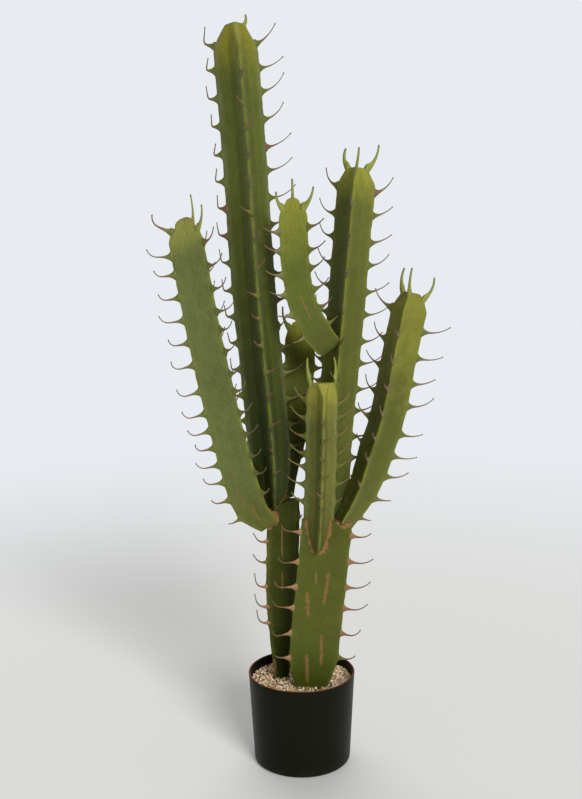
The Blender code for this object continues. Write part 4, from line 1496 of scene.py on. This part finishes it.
def paint(body, tip, foot, **others):
    """A limb's values for its colour group: screen colours as linear ones, and numbers as they are."""
    given = {"body": body, "tip": tip, "foot": foot, **others}
    return {
        label.replace("_", " ").title(): tint(*value) if isinstance(value, tuple) else value
        for label, value in given.items()
    }


LIMB_PAINTS = {
    # painted shade: the left trunk's dark body and long dark foot stand partly for the shadow of the right
    # trunk and the left arm
    "trunk_left": paint((54, 61, 16), (54, 61, 16), (36, 45, 8), foot_length=0.17, edge_amount=0.2),
    "trunk_right": paint((77, 84, 30), (75, 82, 28), (57, 68, 16), bloom_amount=0.05, edge_amount=0.2),
    # painted shade: the tall stem's dark foot, reaching far up, stands partly for the shadow of the upper arm
    # and the right stem
    "stem_tall": paint(
        (90, 98, 40), (132, 130, 44), (59, 69, 30),
        bloom=(122, 124, 96), bloom_amount=0.55, tip_length=0.08, foot_length=0.44,
    ),
    # painted shade: the back stem's dark body stands for the shade it sits in behind the other limbs
    "stem_back": paint((75, 81, 29), (122, 124, 42), (52, 60, 23), tip_length=0.07),
    "stem_right": paint((93, 99, 41), (140, 141, 54), (66, 77, 26), bloom_amount=0.4),
    "arm_left": paint((97, 106, 57), (130, 132, 66), (92, 96, 43), tip_length=0.05),
    "arm_front": paint((107, 109, 53), (148, 145, 60), (84, 88, 36), bloom=(128, 132, 84), bloom_amount=0.6),
    "arm_right": paint((88, 93, 38), (122, 124, 48), (94, 98, 45), tip_length=0.18, bloom_amount=0.3),
    "arm_upper": paint((88, 98, 39), (126, 129, 48), (82, 88, 38), tip_length=0.08),
}
TRUNK_SEAM, ARM_SEAM = 0.0050, 0.0014
LIMB_MATT, LIMB_SPECULAR, LIMB_RELIEF = 0.60, 0.09, 0.0018


def limb_material(name):
    """The paint of one limb: its tints, then glue and scrapes over them, and the leathery relief."""
    material, tree, shader = new_material(name + "_plastic")
    colour = use_group(tree, LIMB_COLOUR, LIMB_PAINTS[name])["Color"]
    seam = TRUNK_SEAM if name in CUTS else ARM_SEAM
    marked = use_group(tree, MARKS, {"Color": colour, "Seam Width": seam})["Color"]
    relief = use_group(tree, RELIEF, {"Matt": LIMB_MATT})
    dress(tree, shader, marked, relief["Roughness"], LIMB_SPECULAR, relief["Height"], LIMB_RELIEF)
    return material


for name, skin in SKINS.items():
    skin.data.materials.append(limb_material(name))
print("limb materials:", len(SKINS))

# %% [markdown]
# ## The spines' paint
#
# Six plain plastics: a green and a tan root, an olive and a brown shaft, a darker tip, and the yellow-green
# of the horns. The rings of the spines already say which of them they wear. They are a little glossier than
# the stems.

# %% Spine materials
SPINE_TINTS = (
    ("spine_green_root", tint(94, 99, 37)),
    ("spine_tan_root", tint(138, 105, 70)),
    ("spine_olive", tint(112, 100, 54)),
    ("spine_brown", tint(112, 86, 60)),
    ("spine_tip", tint(96, 72, 52)),
    ("spine_young", tint(128, 133, 56)),
)
SPINE_MATT, SPINE_SPECULAR = 0.5, 0.35
SPINE_MATERIALS = [plain_material(name, colour, SPINE_MATT, SPINE_SPECULAR) for name, colour in SPINE_TINTS]
for name, bunch in BUNCHES.items():
    slots = np.empty(len(bunch.data.polygons), np.int32)
    bunch.data.polygons.foreach_get("material_index", slots)
    for material in SPINE_MATERIALS:
        bunch.data.materials.append(material)
    bunch.data.polygons.foreach_set("material_index", slots)
print("spine materials:", len(SPINE_MATERIALS))

# %% [markdown]
# ## The pot's finish
#
# The pot is near-black plastic with a satin skin and a very fine grain. Its rim's top edge is worn to a thin
# orange-brown line, and a little dust clings to its foot. Both are laid on by height and broken up by noise.

# %% Pot material
POT_TINT, RIM_TINT, DUST_TINT = tint(17, 18, 10), tint(122, 66, 34), tint(70, 66, 54)
WORN_HEIGHTS = (POT_HEIGHT - 0.0007, POT_HEIGHT - 0.0002)
DUST_HEIGHTS = (0.018, 0.0)
RIM_NOISE, DUST_NOISE = (60, 3), (240, 4, 0.7)
POT_SKIN = {"Grain": 1900.0, "Wrinkles": 0.0, "Matt": 0.42, "Matt Range": 0.12}
POT_SPECULAR, POT_RELIEF, POT_RELIEF_STRENGTH = 0.08, 0.0004, 0.12


def pot_material():
    """The pot's black, with the worn rim and the dusty foot blended in by height."""
    material, tree, shader = new_material("pot_plastic")
    place = place_of(tree)
    height = put(tree, "SeparateXYZ", {0: place}).outputs["Z"]
    rubbed = ease(tree, noise(tree, place, *RIM_NOISE), 0.2, 0.6, 0.45, 1.0)
    settled = ease(tree, noise(tree, place, *DUST_NOISE), 0.45, 0.75, 0.0, 0.5)
    worn = product(tree, ease(tree, height, *WORN_HEIGHTS), rubbed)
    dust = product(tree, ease(tree, height, *DUST_HEIGHTS), settled)
    colour = blend_colours(tree, dust, blend_colours(tree, worn, POT_TINT, RIM_TINT), DUST_TINT)
    relief = use_group(tree, RELIEF, POT_SKIN)
    roughness, grain = relief["Roughness"], relief["Height"]
    dress(tree, shader, colour, roughness, POT_SPECULAR, grain, POT_RELIEF, POT_RELIEF_STRENGTH)
    return material


pot.data.materials.append(pot_material())
print("pot material:", pot.data.materials[0].name)

# %% [markdown]
# ## The gravel's colours
#
# The chips are eight plain stones: cream, beige, pink, white, tan and ochre on top, and two dark ones in the
# lowest layer, which are painted shade for the shadows in the gaps. The bed below is dark grit, and its brown
# where it shows through the gaps is painted shade as well.

# %% Gravel materials
CHIP_COLOURS = (
    ("chip_cream", tint(206, 188, 154)),
    ("chip_beige", tint(178, 150, 112)),
    ("chip_pink", tint(188, 150, 120)),
    ("chip_white", tint(228, 218, 197)),
    ("chip_tan", tint(134, 100, 66)),
    ("chip_ochre", tint(156, 124, 72)),
    ("chip_dark", tint(82, 56, 36)),
    ("chip_umber", tint(104, 76, 50)),
)
CHIP_MATT, CHIP_SPECULAR = 0.75, 0.3
GRIT = (520, 4, 0.7)
# painted shade: the grit's dark brown shows through the gaps between chips as their shadow
GRIT_DARK, GRIT_LIGHT = tint(74, 52, 34), tint(150, 122, 90)
GRIT_MATT, GRIT_SPECULAR, GRIT_RELIEF, GRIT_STRENGTH = 0.9, 0.5, 0.001, 0.6


def bed_material():
    """Dark grit below the chips: one noise gives its mottled brown and its relief."""
    material, tree, shader = new_material("gravel_grit")
    grit = noise(tree, place_of(tree), *GRIT)
    colour = blend_colours(tree, ease(tree, grit, 0.4, 0.65), GRIT_DARK, GRIT_LIGHT)
    dress(tree, shader, colour, GRIT_MATT, GRIT_SPECULAR, grit, GRIT_RELIEF, GRIT_STRENGTH)
    return material


for name, colour in CHIP_COLOURS:
    chips.data.materials.append(plain_material(name, colour, CHIP_MATT, CHIP_SPECULAR))
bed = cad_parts["gravel_bed"]
bed.data.materials.clear()
bed.data.materials.append(bed_material())
print("gravel materials:", len(CHIP_COLOURS) + 1)

# %% [markdown]
# ## Floor and light
#
# A plain pale floor runs far behind the plant and glows there as bright as the world, so that no horizon
# cuts through the picture. The soft key light stands in front and to the right, which leaves the left faces
# as dark as they are in the photograph. A weaker light behind the plant lifts the floor, the gravel and the
# far side. The view transform is the plain one, because the paints are mixed as the screen colours that it
# shows.

# %% Floor and light
FLOOR_SIZE = 40.0
NEAR_FLOOR = 0.4
FAR_FLOOR = 2.4
FLOOR_TINT = tint(228, 229, 231)
WORLD_TINT = tint(232, 236, 241)
AMBIENT = (0.24, 0.235, 0.21, 1.0)
BLACK = (0.0, 0.0, 0.0, 1.0)


def make_floor():
    """A pale floor whose far part glows as bright as the world, so that no edge shows between the two."""
    half = FLOOR_SIZE / 2
    corners = [(-half, -half, 0), (half, -half, 0), (half, half, 0), (-half, half, 0)]
    mesh = bpy.data.meshes.new("floor")
    mesh.from_pydata(corners, [], [(0, 1, 2, 3)])
    floor = bpy.data.objects.new("floor", mesh)
    bpy.context.scene.collection.objects.link(floor)
    material, tree, shader = new_material("floor_paint")
    away = put(tree, "VectorMath", {0: place_of(tree)}, operation="LENGTH").outputs["Value"]
    far = ease(tree, away, NEAR_FLOOR, FAR_FLOOR)
    lit = blend_colours(tree, far, FLOOR_TINT, BLACK)
    glow = blend_colours(tree, far, BLACK, WORLD_TINT)
    values = {"Base Color": lit, "Emission Color": glow, "Emission Strength": 1.0, "Roughness": 1.0}
    feed(tree, shader, {**values, "Specular IOR Level": 0.0})
    mesh.materials.append(material)


def make_world():
    """A pale world to look at, which lights the plant only weakly."""
    world = bpy.data.worlds.new("studio")
    world.use_nodes = True
    tree = world.node_tree
    seen = put(tree, "LightPath").outputs["Is Camera Ray"]
    feed(tree, tree.nodes["Background"], {"Color": blend_colours(tree, seen, AMBIENT, WORLD_TINT)})
    bpy.context.scene.world = world


def sunlight(name, azimuth, height, strength, softness, colour):
    """A soft sun that stands at an azimuth, 0 towards the viewer and growing to the right, and a height."""
    data = bpy.data.lights.new(name, "SUN")
    data.energy = strength
    data.angle = math.radians(softness)
    data.color = colour
    light = bpy.data.objects.new(name, data)
    turn, rise = math.radians(azimuth), math.radians(height)
    way = Vector((math.sin(turn) * math.cos(rise), -math.cos(turn) * math.cos(rise), math.sin(rise)))
    light.rotation_euler = way.to_track_quat("Z", "Y").to_euler()
    bpy.context.scene.collection.objects.link(light)


make_floor()
make_world()
sunlight("key", azimuth=24, height=27, strength=2.8, softness=26, colour=(1.0, 0.985, 0.95))
sunlight("back", azimuth=186, height=52, strength=1.1, softness=60, colour=(1.0, 1.0, 1.0))
bpy.context.scene.view_settings.view_transform = "Standard"
